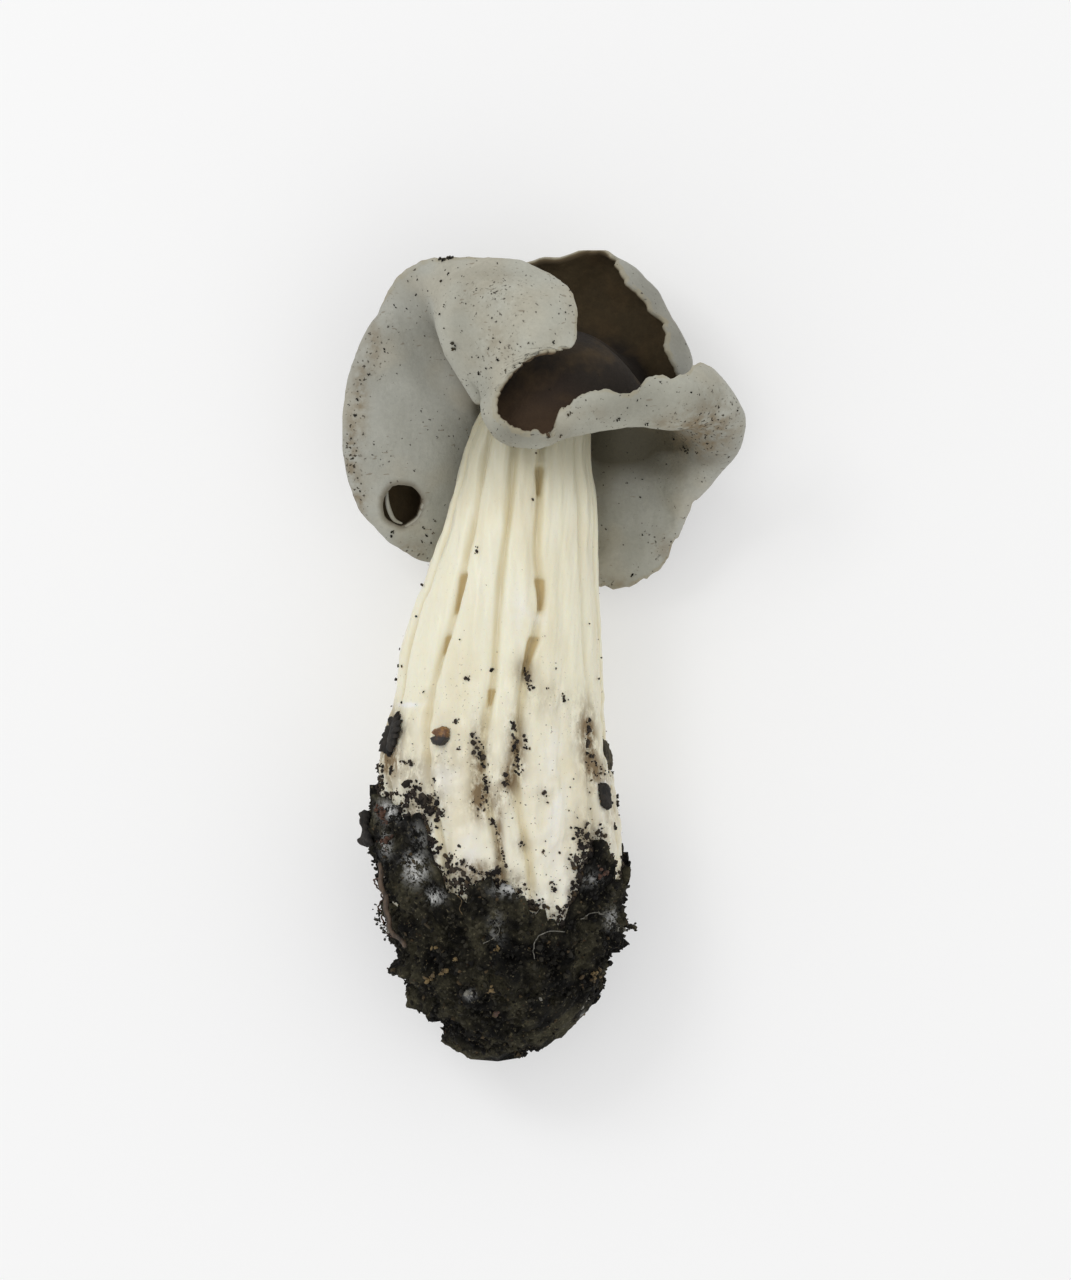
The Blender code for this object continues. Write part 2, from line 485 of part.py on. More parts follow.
def build_soil():
    """The clod: its crumbly skin and the socket that the stem's base stands in, joined by a rim."""
    turn = np.arange(SOIL_COLUMNS) * 2 * math.pi / SOIL_COLUMNS
    edge = soil_edge(turn)
    outer, inner = [], []
    for share in np.linspace(0.0, 1.0, SOIL_ROW_COUNT):
        outer.append(soil_skin(turn, edge + (SOIL_ROWS[0][0] - edge) * share, 0.0))
        inner_y = edge + (STEM_ROWS[0][0] - GAP - edge) * share
        inner.append(oval_point(STEM_ROWS, np.maximum(inner_y, STEM_ROWS[0][0]), turn, GAP))
        inner[-1][:, 1] = inner_y
    outer = np.array(outer)
    outer[..., 2] = np.maximum(outer[..., 2], 0.0)
    rings = np.concatenate([np.array(inner)[::-1], outer])
    socket_foot = (STEM_BASE[0], STEM_BASE[1] - GAP, STEM_BASE[2])
    points, faces = closed_column(rings, socket_foot, SOIL_TIP)
    return new_object("soil", points, faces, "soil")


def build_flake(name, carrier, angle, y, half_width, half_length, thick, turn, kind):
    """A thin plate with an irregular outline, bent to the skin that it lies on: rings round its middle."""
    seed = sum(map(ord, name))
    around = np.arange(FLAKE_SIDES) * 2 * math.pi / FLAKE_SIDES
    wobble = 1 + 0.16 * np.sin(3 * around + seed) + 0.10 * np.sin(5 * around + 2 * seed)
    tilt = math.radians(turn)
    radius = smooth_rows(STEM_ROWS, np.array([y]))[0, 2:].mean()

    def place(share, height):
        across = half_width * share * wobble * np.cos(around)
        along = half_length * share * wobble * np.sin(around)
        phi = math.radians(angle) + (across * math.cos(tilt) - along * math.sin(tilt)) / radius
        up = y + across * math.sin(tilt) + along * math.cos(tilt)
        return soil_skin(phi, up, height) if carrier == "soil" else stem_skin(phi, up, height)

    lift = FLAKE_LIFT[carrier]
    low = [place(share, lift) for share in FLAKE_LOW_RINGS]
    high = [place(share, lift + thick) for share in FLAKE_HIGH_RINGS]
    points, faces = closed_column(np.array(low + high), place(0.0, lift)[0], place(0.0, lift + thick)[0])
    return new_object(name, points, faces, kind)


def build_rootlet():
    """A tapering root carried along its path over the clod, clear of the highest crumbs beside it."""
    place = np.linspace(0, len(ROOTLET) - 1, ROOTLET_ROWS)
    angle, y, radius = spline(ROOTLET, place).T
    turn = np.radians(angle)
    beside = [soil_skin(turn + side, y, GAP) for side in (-ROOTLET_REACH, 0.0, ROOTLET_REACH)]
    base = oval_point(SOIL_ROWS, y, turn)
    out = base - np.array(SOIL_MIDDLE)
    out[:, 1] = 0.0
    out /= np.linalg.norm(out, axis=1, keepdims=True)
    rise = np.max([((skin - base) * out).sum(axis=1) for skin in beside], axis=0)
    rise = np.maximum(np.maximum(rise, np.roll(rise, 1)), np.roll(rise, -1))
    rise = np.convolve(np.pad(rise, 2, mode="edge"), np.ones(5) / 5, mode="valid")
    centre = base + out * (rise + radius + ROOTLET_LIFT)[:, None]
    forward = np.gradient(centre, axis=0)
    forward /= np.linalg.norm(forward, axis=1, keepdims=True)
    side = np.cross(forward, (0.0, 0.0, 1.0))
    side /= np.linalg.norm(side, axis=1, keepdims=True)
    up = np.cross(side, forward)
    around = np.arange(ROOTLET_SIDES) * 2 * math.pi / ROOTLET_SIDES
    ring = side[:, None] * np.cos(around)[:, None] + up[:, None] * np.sin(around)[:, None]
    rings = centre[:, None] + radius[:, None, None] * ring
    points, faces = closed_column(
        rings, centre[0] - forward[0] * ROOTLET_END, centre[-1] + forward[-1] * ROOTLET_END
    )
    return new_object("rootlet", points, faces, "root")


def main():
    clear_scene()
    build_cap()
    build_stem()
    build_soil()
    for flake in FLAKES:
        build_flake(*flake, "husk" if flake[0] == "seed_husk" else "bark")
    build_rootlet()


main()
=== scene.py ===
"""The looks of a picked saddle fungus: its folded cap, ribbed ivory stem, clod of soil and stuck litter.

Lengths are millimetres in the frame of the control values below; new_piece takes MIDDLE off and turns
them into metres. +Y runs from the soiled base to the cap, +Z is up, and the surface it lies on is Z = 0.
"""

import math

import bpy
import numpy as np
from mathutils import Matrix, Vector


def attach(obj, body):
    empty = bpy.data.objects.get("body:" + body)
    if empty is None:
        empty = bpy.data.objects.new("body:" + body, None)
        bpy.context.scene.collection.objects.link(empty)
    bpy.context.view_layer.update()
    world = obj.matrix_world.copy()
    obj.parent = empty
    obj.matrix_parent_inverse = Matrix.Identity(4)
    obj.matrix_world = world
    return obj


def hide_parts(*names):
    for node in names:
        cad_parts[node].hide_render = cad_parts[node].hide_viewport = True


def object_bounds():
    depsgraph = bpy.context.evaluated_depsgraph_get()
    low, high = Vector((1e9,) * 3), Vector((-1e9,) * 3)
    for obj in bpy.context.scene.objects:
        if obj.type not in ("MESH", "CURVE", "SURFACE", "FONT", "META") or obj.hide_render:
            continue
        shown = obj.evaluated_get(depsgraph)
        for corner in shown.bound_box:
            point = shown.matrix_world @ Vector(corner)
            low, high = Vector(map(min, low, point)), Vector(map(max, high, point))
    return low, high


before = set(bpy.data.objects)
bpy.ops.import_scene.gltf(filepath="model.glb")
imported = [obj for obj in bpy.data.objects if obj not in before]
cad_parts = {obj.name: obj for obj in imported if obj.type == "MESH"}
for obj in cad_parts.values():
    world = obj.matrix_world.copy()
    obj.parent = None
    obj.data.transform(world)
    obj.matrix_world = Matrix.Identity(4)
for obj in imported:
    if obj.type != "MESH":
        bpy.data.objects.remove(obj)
CAD_BOX = [list(corner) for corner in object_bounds()]

MM = 0.001
GAP = 0.35
# What is taken off every point, so that the footprint's middle is the origin.
MIDDLE = (0.12, -0.03, 0.0)

# Cap: a thin sheet. Each station is one meridian, from the stem's top out to the margin, as
# (X, Y, Z) at the collar, the valley, the middle of the lobe, near the margin and at the margin.
CAP_POLE = (3.6, 40.4, 18.6)
CAP_POLE_AXIS = (0.08, 0.98, 0.18)
CAP_STATIONS = (
    ("lip", (1.0, 37.8, 24.8), (-0.2, 31.5, 27.6), (-0.8, 27.2, 29.2),
     (-0.9, 26.8, 32.0), (-0.9, 28.6, 33.4)),
    ("lip left", (-1.5, 37.2, 24.6), (-3.2, 31.8, 27.4), (-4.8, 27.8, 29.0),
     (-5.4, 27.6, 31.5), (-4.6, 29.0, 33.0)),
    ("neck", (-3.4, 36.5, 23.8), (-5.4, 32.6, 26.6), (-6.9, 30.2, 28.2),
     (-7.1, 30.8, 31.0), (-6.0, 32.2, 32.6)),
    ("torn edge", (-4.6, 36.0, 22.8), (-6.4, 33.0, 25.4), (-7.5, 31.6, 27.8),
     (-6.6, 33.6, 31.6), (-3.5, 36.1, 33.4)),
    ("torn top", (-5.2, 35.6, 21.8), (-6.9, 33.2, 24.6), (-7.6, 33.6, 28.4),
     (-4.6, 36.8, 32.6), (0.3, 38.4, 33.4)),
    ("flap tip", (-5.6, 35.4, 20.8), (-7.3, 33.4, 24.0), (-7.8, 35.6, 28.8),
     (-2.8, 39.3, 33.2), (3.2, 39.0, 31.2)),
    ("flap right", (-5.9, 35.2, 20.0), (-7.6, 33.6, 23.6), (-8.4, 37.0, 28.6),
     (-2.2, 42.4, 33.0), (3.9, 43.6, 29.0)),
    ("flap shoulder", (-6.1, 35.0, 19.4), (-8.0, 33.6, 23.4), (-9.4, 37.8, 28.0),
     (-4.6, 44.6, 31.4), (2.2, 47.2, 27.0)),
    ("flap top", (-6.3, 34.9, 19.0), (-8.2, 33.2, 23.4), (-10.6, 38.4, 27.2),
     (-8.4, 45.6, 29.0), (-3.4, 49.6, 25.4)),
    ("crest", (-6.5, 34.8, 18.4), (-8.6, 32.8, 21.8), (-12.0, 38.6, 25.0),
     (-12.9, 44.6, 26.2), (-11.6, 50.2, 23.0)),
    ("crease", (-6.6, 34.6, 17.6), (-8.4, 33.4, 18.4), (-11.6, 37.8, 17.2),
     (-14.9, 43.4, 19.0), (-17.7, 48.3, 20.2)),
    ("wing top", (-6.6, 34.2, 16.8), (-9.6, 32.8, 15.6), (-14.2, 36.2, 15.0),
     (-20.1, 42.2, 18.4), (-21.0, 41.8, 13.6)),
    ("wing shoulder", (-6.6, 33.8, 16.0), (-9.6, 31.2, 14.0), (-15.0, 32.2, 14.8),
     (-24.0, 35.4, 16.8), (-20.8, 34.6, 10.8)),
    ("wing side", (-6.4, 33.4, 15.2), (-9.6, 29.6, 12.8), (-15.4, 27.8, 13.8),
     (-24.9, 27.2, 15.2), (-20.0, 27.6, 8.4)),
    ("wing low side", (-6.0, 33.0, 14.4), (-9.2, 27.8, 11.2), (-14.6, 23.4, 12.2),
     (-23.4, 19.6, 13.0), (-16.6, 23.0, 6.4)),
    ("wing corner", (-5.6, 32.8, 13.6), (-8.4, 26.4, 9.8), (-12.8, 20.2, 10.4),
     (-19.2, 14.8, 10.4), (-14.4, 20.6, 4.8)),
    ("wing foot", (-5.0, 32.8, 12.8), (-7.2, 26.0, 8.6), (-10.4, 18.8, 8.2),
     (-14.0, 12.3, 7.6), (-12.2, 18.2, 3.0)),
    ("wing heel", (-4.2, 33.2, 12.0), (-5.8, 27.0, 7.4), (-7.8, 20.4, 6.0),
     (-9.6, 14.8, 4.4), (-10.6, 18.6, 1.4)),
    ("back fold left", (-3.2, 34.0, 11.2), (-4.6, 30.0, 6.6), (-6.4, 26.0, 3.8),
     (-8.2, 22.8, 1.8), (-9.4, 22.4, 0.2)),
    ("back wall foot", (-1.6, 35.6, 10.6), (-3.4, 34.0, 6.2), (-5.6, 35.0, 3.6),
     (-7.8, 36.8, 2.4), (-9.4, 38.2, 1.6)),
    ("back wall corner", (0.2, 37.0, 10.4), (-1.6, 37.6, 6.8), (-4.4, 40.4, 5.0),
     (-7.4, 43.6, 4.8), (-9.6, 45.6, 5.6)),
    ("back top left", (2.0, 38.2, 10.4), (1.0, 40.0, 7.4), (0.0, 43.6, 6.8),
     (-1.2, 47.4, 8.0), (-1.8, 49.6, 10.0)),
    ("back top", (4.2, 38.8, 10.8), (5.0, 40.6, 8.0), (5.9, 44.6, 7.4),
     (7.0, 49.2, 8.8), (7.3, 51.1, 11.4)),
    ("back right top", (6.4, 38.8, 11.4), (8.0, 40.2, 8.6), (10.6, 43.6, 8.6),
     (12.6, 47.5, 11.2), (10.5, 47.9, 14.4)),
    ("back right", (8.4, 38.2, 12.6), (10.8, 38.8, 9.8), (14.0, 39.8, 9.8),
     (16.8, 41.3, 12.6), (14.9, 42.0, 15.8)),
    ("back right low", (9.8, 37.4, 14.2), (12.6, 36.6, 11.2), (16.2, 36.0, 10.8),
     (18.6, 36.6, 13.2), (16.8, 36.2, 16.2)),
    ("right fold", (10.4, 36.4, 15.6), (13.0, 33.6, 11.8), (16.4, 31.4, 9.2),
     (18.4, 30.4, 8.2), (19.4, 29.6, 8.2)),
    ("right fold low", (10.2, 35.6, 16.2), (11.4, 31.0, 10.2), (12.8, 26.6, 5.4),
     (13.6, 24.0, 2.4), (14.0, 22.8, 0.2)),
    ("right back", (9.8, 35.0, 16.4), (7.6, 30.2, 9.4), (5.4, 23.4, 4.8),
     (4.0, 17.4, 3.0), (3.4, 13.4, 2.0)),
    ("right foot", (9.8, 34.8, 17.2), (9.2, 29.0, 11.2), (8.6, 20.6, 7.8),
     (8.4, 13.2, 6.0), (8.4, 9.0, 4.6)),
    ("right corner low", (10.0, 34.7, 18.0), (11.8, 28.4, 10.8), (13.6, 21.4, 9.6),
     (15.0, 15.4, 9.4), (15.2, 11.8, 8.2)),
    ("right edge", (10.4, 34.8, 18.8), (13.4, 28.8, 11.4), (15.8, 23.8, 11.4),
     (17.4, 19.4, 12.2), (17.6, 17.4, 11.0)),
    ("right notch", (10.6, 35.2, 19.6), (14.4, 29.6, 12.8), (18.0, 26.2, 15.0),
     (20.2, 22.8, 15.2), (20.2, 21.2, 13.2)),
    ("shoulder low", (10.6, 35.6, 20.4), (14.6, 30.4, 15.8), (19.2, 27.8, 19.4),
     (24.0, 26.4, 19.0), (23.8, 26.2, 15.2)),
    ("shoulder", (10.2, 36.0, 21.4), (14.0, 30.8, 19.6), (19.2, 29.2, 22.6),
     (24.7, 30.8, 22.4), (23.4, 32.4, 18.6)),
    ("corner", (9.4, 36.4, 22.4), (12.6, 30.8, 22.6), (16.8, 29.2, 26.2),
     (20.5, 33.0, 27.4), (20.0, 36.7, 24.8)),
    ("band", (8.0, 36.8, 23.4), (9.8, 30.8, 25.0), (12.2, 29.6, 28.4),
     (14.2, 32.2, 30.6), (14.2, 35.2, 29.4)),
    ("band left", (6.0, 37.4, 24.2), (6.4, 31.0, 26.6), (7.0, 28.8, 29.4),
     (7.6, 30.6, 32.0), (7.6, 33.4, 31.6)),
    ("band root", (3.4, 37.8, 24.8), (2.8, 31.2, 27.4), (2.6, 28.2, 29.4),
     (2.6, 28.6, 32.4), (2.8, 31.6, 33.0)),
)
CAP_THICK_CENTRE = 1.5
CAP_ROW_CROWDING = 0.9
CAP_POLE_SLOPE = 1.15
# Waves round a ring are rows of (height, waves, phase, beats, phase of the beats). Without beats they run
# even.
# The eroded margin's waves and its finer nibbles, in knots, and how soon both fade inwards.
CAP_RAGGED = ((0.05, 31, 1.0, 13, 0.0), (0.045, 57, 0.0, 0, 0.0))
CAP_NIBBLES = ((0.05, 97, 0.4, 41, 0.0), (0.035, 173, 2.0, 29, 1.0), (0.02, 263, 0.0, 0, 0.0))
CAP_RAGGED_FADE = 8
# How ragged the margin is, as (station number, share).
CAP_RAGGED_AMOUNT = (
    (0, 0.8), (1, 1.0), (4, 1.0), (5, 0.1), (9, 0.15), (11, 0.3), (14, 0.5), (16, 0.2), (18, 0.1),
    (19, 0.3), (23, 0.8), (26, 0.5), (30, 0.9), (33, 0.8), (34, 0.3), (36, 0.8),
)
CAP_STEP = 0.01
# The hole eaten through the left wing: centre X and Y, half widths, and the cut's lowest and highest Z.
WING_HOLE = (-17.95, 19.25, 2.4, 2.65)
WING_HOLE_Z = (10.8, 18.0)
# The hole's bay on the left: direction and half width in radians, depth as a share of the hole's size.
HOLE_BAY = (3.5, 0.5, 0.12)
HOLE_WAVES = ((0.04, 3, 0.6, 0, 0.0), (0.02, 7, 0.0, 0, 0.0))
# What stands for a distance that is out of reach.
FAR = 99.0

# Stem: rows of (Y, centre X, centre Z, half width in X, half depth in Z), base to top.
STEM_ROWS = (
    (-44.0, -4.8, 13.4, 7.0, 6.6),
    (-39.0, -4.9, 13.6, 11.4, 10.2),
    (-31.1, -5.1, 13.8, 14.4, 11.8),
    (-24.7, -5.4, 14.0, 15.3, 12.4),
    (-18.4, -5.7, 14.2, 15.1, 12.4),
    (-12.0, -6.2, 14.4, 14.4, 12.0),
    (-5.7, -5.6, 14.7, 13.3, 11.4),
    (0.7, -5.3, 15.0, 12.8, 10.8),
    (7.0, -4.5, 15.5, 11.6, 10.0),
    (13.4, -3.4, 16.0, 10.3, 9.2),
    (19.8, -2.5, 16.5, 9.2, 8.4),
    (26.1, -2.0, 17.0, 8.0, 7.4),
    (31.0, -0.8, 17.4, 7.1, 6.5),
    (34.0, 0.8, 17.8, 5.3, 5.1),
    (36.8, 2.0, 18.2, 3.8, 3.6),
)
STEM_TOP = (2.4, 37.6, 18.3)
STEM_BASE = (-4.8, -45.6, 13.4)
# Grooves: (depth, half width, angles in degrees at GROOVE_LEVELS). Angle 0 faces up and 90 faces +X.
GROOVE_LEVELS = (38.0, 26.0, 13.4, 7.0, 0.7, -5.7, -12.0, -18.4, -24.7, -31.0, -44.0)
GROOVES = (
    (0.75, 0.65, (-48, -44, -39, -35, -37, -43, -38, -35, -30, -28, -27)),
    (0.75, 0.60, (-15, -13, -9.5, -6.2, -3.7, -5.2, -6.5, -5.7, -1, 2, 3)),
    (0.75, 0.65, (10, 12.5, 14.6, 22.4, 17.5, 12.4, 11.6, 9.5, 13, 15, 16)),
    (0.20, 0.80, (32, 33, 35, 38, 38, 36, 34, 31.7, 29, 27, 27)),
    (0.35, 0.70, (51, 52, 52, 55.7, 56.3, 60, 58, 53, 50, 49, 49)),
    (0.70, 0.70, (82, 80, 78, 80, 83, 84, 82, 80, 79, 78, 78)),
    (0.80, 0.80, (108, 106, 108, 112, 110, 108, 110, 112, 110, 108, 108)),
    (0.75, 0.75, (136, 138, 140, 137, 139, 142, 140, 137, 138, 140, 140)),
    (0.80, 0.80, (166, 168, 165, 168, 171, 169, 166, 168, 170, 168, 168)),
    (0.80, 0.75, (198, 196, 198, 200, 197, 196, 199, 201, 199, 198, 198)),
    (0.80, 0.80, (226, 228, 227, 224, 226, 229, 228, 226, 225, 227, 227)),
    (0.75, 0.75, (256, 255, 257, 259, 256, 254, 256, 258, 258, 257, 257)),
    (0.65, 0.75, (284, 285, 287, 289, 288, 286, 288, 292, 295, 296, 296)),
)
# Slits in the grooves: (groove, Y of its top, Y of its foot, half width, extra depth).
SLITS = (
    (2, 23.9, 20.2, 0.42, 1.8),
    (2, 9.8, 5.6, 0.50, 2.0),
    (2, 2.4, -2.6, 0.55, 2.0),
    (0, 10.4, 5.2, 0.48, 1.8),
    (0, 2.6, 0.0, 0.38, 1.6),
    (1, -4.2, -6.4, 0.36, 1.4),
    (6, 14.0, 8.6, 0.50, 2.0),
    (7, -2.0, -7.4, 0.50, 2.0),
    (8, 8.4, 2.6, 0.55, 2.0),
    (9, 18.6, 13.8, 0.45, 1.8),
    (10, -6.0, -11.0, 0.50, 2.0),
    (11, 6.0, 1.4, 0.45, 1.8),
)
# The ribs fade towards the foot: Y where they are least, the length of the fade, and the least share.
GROOVE_FADE = (-36.0, 8.0, 0.15)
RIB_CROWN = 0.5
RIB_CROWN_POWER = 2.4
SLIT_SOFT = 1.6

# Soil: rows of (Y, centre X, centre Z, half width, half depth) of the clod, foot to top.
SOIL_ROWS = (
    (-50.9, -5.9, 11.6, 3.2, 3.4),
    (-49.2, -5.3, 11.8, 6.2, 5.8),
    (-46.9, -3.9, 12.2, 9.0, 8.4),
    (-44.8, -4.4, 12.5, 10.6, 10.2),
    (-42.7, -5.1, 12.8, 11.8, 11.4),
    (-40.2, -5.4, 12.7, 12.9, 12.9),
    (-36.5, -4.5, 12.8, 13.8, 13.8),
    (-34.0, -5.0, 12.9, 14.7, 14.1),
    (-30.3, -5.1, 13.1, 15.2, 14.2),
    (-24.0, -5.4, 13.6, 16.2, 13.8),
    (-17.0, -5.7, 14.2, 15.9, 13.1),
)
SOIL_TIP = (-5.8, -51.6, 11.6)
# Upper edge of the soil: (angle in degrees, Y).
SOIL_EDGE = (
    (-120, -20.5), (-97, -17.8), (-78, -18.0), (-58, -19.6), (-46, -20.6), (-38, -22.0), (-31, -28.4),
    (-24, -30.4), (-12, -29.2), (-2, -28.9), (12, -31.2), (25, -34.2), (34, -33.4), (42, -27.6),
    (52, -24.2), (64, -27.8), (80, -29.2), (98, -26.0), (120, -23.5), (145, -21.0), (170, -23.5),
    (195, -21.5), (218, -24.5),
)
SOIL_LUMP = 0.55
SOIL_LUMP_SIZE = 3.4
SOIL_MIDDLE = (-5.0, -34.0, 13.6)
SOIL_RIM_THICK = 0.9
# Over this length below its upper edge the crust's lumps grow to their full height.
SOIL_RIM_LENGTH = 5.0

# Litter: (name, what it lies on, angle, Y, half width, half length, thickness, turn in degrees).
FLAKES = (
    ("bark_chip", "soil", -88, -22.2, 1.6, 2.2, 1.3, 4),
    ("bark_flake", "stem", -70, -9.9, 2.3, 2.5, 0.8, -8),
    ("leaf_scale", "stem", 83, -12.4, 0.9, 2.1, 0.8, 4),
    ("peat_flake", "stem", 62, -17.8, 0.9, 1.6, 0.8, -4),
    ("seed_husk", "stem", -29, -10.2, 1.2, 1.2, 1.0, 20),
)
# How high the litter lies above the skin under it.
FLAKE_LIFT = {"soil": 0.2, "stem": 0.1}
# How square each one's outline is: 2 is an oval, more is squarer, less is a spindle.
FLAKE_SQUARE = {"bark_chip": 5.0, "bark_flake": 3.2, "leaf_scale": 1.6, "peat_flake": 4.0, "seed_husk": 2.2}
# How torn each outline is, and the husk's open mouth: direction and half width in radians, and depth.
FLAKE_TORN = {"bark_chip": 0.6, "bark_flake": 2.2, "leaf_scale": 1.0, "peat_flake": 1.0, "seed_husk": 0.5}
HUSK_MOUTH = (2.7, 0.24, 0.62)
# Rootlet: (angle, Y, radius) along it, its clearance over the crumbs beside it, and how slim it is.
ROOTLET_LIFT = 0.15
ROOTLET_KNOTS = 15
ROOTLET_SLIM = 0.85
ROOTLET_REACH = 0.04
ROOTLET = (
    (-64, -26.4, 0.32),
    (-65, -29.6, 0.42),
    (-65, -32.6, 0.40),
    (-65, -35.2, 0.34),
    (-58, -36.8, 0.32),
)
# The stage: the photograph's height and middle, the level its scale holds at, the lens, and the lights.
PHOTO_TALL = 162.56
PHOTO_CENTRE = (-1.016, 1.968)
CAMERA_LEVEL = 15.0
LENS = 900.0
SENSOR = 36.0
WORLD_STRENGTH = 0.78
LIGHTS = (("key", (-0.42, 0.40, 0.72), 0.30, 1.6), ("fill", (0.5, -0.3, 0.8), 0.8, 0.6))
# The floor is back-lit paper: its own colour, and the light that comes through it.
FLOOR_GREY = 0.58
FLOOR_GLOW = 0.37
FLOOR_REACH = 4.0

# How finely each surface is computed.
CAP_FINE_COLUMNS = 624
CAP_FINE_ROWS = 70
CAP_RIM_THICK = 0.72
CAP_RIM_TURNS = (25.0, 55.0, 90.0, 125.0, 155.0)
# Fine relief, as layers of (height, size of its lumps, seed, and if wanted how many waves).
CAP_RELIEF = ((0.16, 7.0, 21), (0.09, 3.2, 22), (0.035, 1.4, 23))
# The cap's relief grows over these shares of the way from the stem to the margin.
CAP_RELIEF_STARTS = (0.32, 0.72)
STEM_RELIEF = ((0.05, 0.8, 31), (0.09, 1.9, 32))
STEM_FOOT_RELIEF = (2.6, 33)
SOIL_RELIEF = ((0.24, 1.5, 41, 20), (0.16, 0.8, 42, 20))
# The stem's relief is drawn out along it by this, and its foot's swellings grow over this stretch of Y.
STEM_DRAWN = 0.16
STEM_SWELLING = (4.0, -18.0, 0.16)
# The small tongues of the clod's upper edge.
SOIL_TONGUES = ((0.8, 17, 1.0, 5, 0.0), (0.5, 43, 0.0, 0, 0.0), (0.32, 71, 2.0, 0, 0.0))
CURL_STEPS, THREAD_STEPS, ROOTLET_STEPS, FOLD_STEPS = 36, 28, 90, 40
CURL_SIDES, THREAD_SIDES, ROOTLET_SIDES = 10, 8, 20
FLAKE_SIDES, FLAKE_RINGS = 84, 14
STEM_FINE_STEP = 0.45
RIB_FINE_STEPS = 36
RIB_CROWDING = 0.6
# How steeply the foot's limit rises, per square millimetre from its middle.
SOIL_BOWL = 0.05
SOIL_FINE_COLUMNS = 360
SOIL_FINE_ROWS = 150
SOCKET_ROWS = 8
# The slits' floors are seen lit, so the wells are this much of the plain model's depth.
SLIT_SHALLOW = 0.32
# The photograph shows the grooves as tan lines with little relief.
GROOVE_SHALLOW = 0.7

# Steps and bites of the torn margin: (station number, half width in stations, knots cut off).
MARGIN_BITES = (
    (38.62, 0.30, 0.62), (37.95, 0.16, 0.18), (36.55, 0.26, 0.42), (35.55, 0.30, 0.35), (0.35, 0.18, 0.14),
    (2.45, 0.16, 0.22), (3.35, 0.14, 0.30), (4.55, 0.14, 0.26), (3.72, 0.06, 0.12), (4.05, 0.07, 0.16),
    (4.82, 0.07, 0.14), (21.4, 0.12, 0.12), (22.42, 0.08, 0.35), (23.9, 0.10, 0.22), (24.05, 0.25, 0.12),
    (25.5, 0.16, 0.2), (30.4, 0.14, 0.30), (31.5, 0.16, 0.32), (15.6, 0.2, 0.22), (28.5, 0.2, 0.25),
)

# Blots, as (X, Y, half width, half length, strength), seen from above: stains, painted shade on folds, dirt,
# white swellings with painted glints, and white threads.
CAP_STAINS = (
    (-23.2, 33.0, 0.9, 6.0, 1.2), (-24.5, 26.0, 0.8, 5.5, 1.3), (-23.4, 19.0, 0.9, 3.6, 1.2),
    (-17.0, 13.2, 2.6, 1.4, 0.9), (-21.5, 39.5, 0.9, 3.0, 0.9), (20.4, 27.6, 3.4, 2.6, 1.3),
    (21.8, 31.0, 2.6, 3.0, 0.7), (14.6, 29.6, 2.0, 0.9, 0.6), (18.0, 29.6, 2.6, 1.6, 0.6),
    (-6.0, 46.0, 5.0, 3.0, 0.35), (-19.8, 41.5, 2.0, 2.4, 0.2), (-6.2, 39.0, 3.0, 3.0, 0.5),
    (6.0, 30.5, 2.4, 1.2, 0.4), (8.0, 9.0, 5.0, 1.0, 0.7), (15.5, 13.5, 1.6, 2.0, 0.6),
)
# Painted shade, a darker olive brown, on deep folds, undersides and faces turned from the light: (X, Y, half
# width, half length, strength).
CAP_PAINTED_SHADE = (
    (-4.6, 28.2, 2.6, 2.4, 0.52), (2.0, 28.0, 4.0, 2.0, 0.34), (-1.6, 27.6, 2.4, 1.6, 0.2),
    (7.0, 31.0, 4.0, 2.0, 0.26), (12.6, 32.4, 5.0, 3.0, 0.40), (20.6, 32.0, 3.0, 3.6, 0.26),
    (-10.2, 41.6, 2.2, 5.0, 0.26), (-7.4, 33.6, 1.4, 3.4, 0.24), (-6.6, 48.4, 4.0, 1.0, 0.2),
)
# The same painted shade for what lies below the band, where it stands for the band's shadow: it counts only
# under a height.
RECESS_TOP = 25.5
RECESS_PAINTED_SHADE = (
    (8.2, 29.6, 5.0, 4.0, 1.6), (13.8, 28.8, 3.6, 2.0, 1.3), (17.4, 26.6, 2.4, 1.2, 0.7),
    (20.4, 24.8, 2.6, 1.0, 0.4), (8.4, 25.4, 4.6, 4.2, 0.55), (13.4, 25.0, 3.4, 2.6, 0.5),
    (16.8, 23.6, 2.6, 1.4, 0.35), (7.0, 18.0, 1.4, 6.0, 0.25), (-12.0, 14.0, 3.4, 2.4, 0.2),
    (21.6, 27.2, 3.4, 2.4, 0.32), (13.2, 45.4, 4.0, 6.0, 0.40), (17.4, 39.8, 2.4, 3.4, 0.34),
)
# Painted shade in the valley left of the flap's fold: the fold's (X, Y), how dark it is there, how far it
# fades over, and the heights between which it starts.
FOLD = ((-13.1, 43.2), (-12.8, 42.2), (-11.9, 40.2), (-10.1, 36.8), (-8.8, 33.2), (-8.4, 31.0))
VALLEY_DARK, VALLEY_FADE, VALLEY_TOP, VALLEY_FLOOR = 0.92, 2.1, 22.5, 20.5
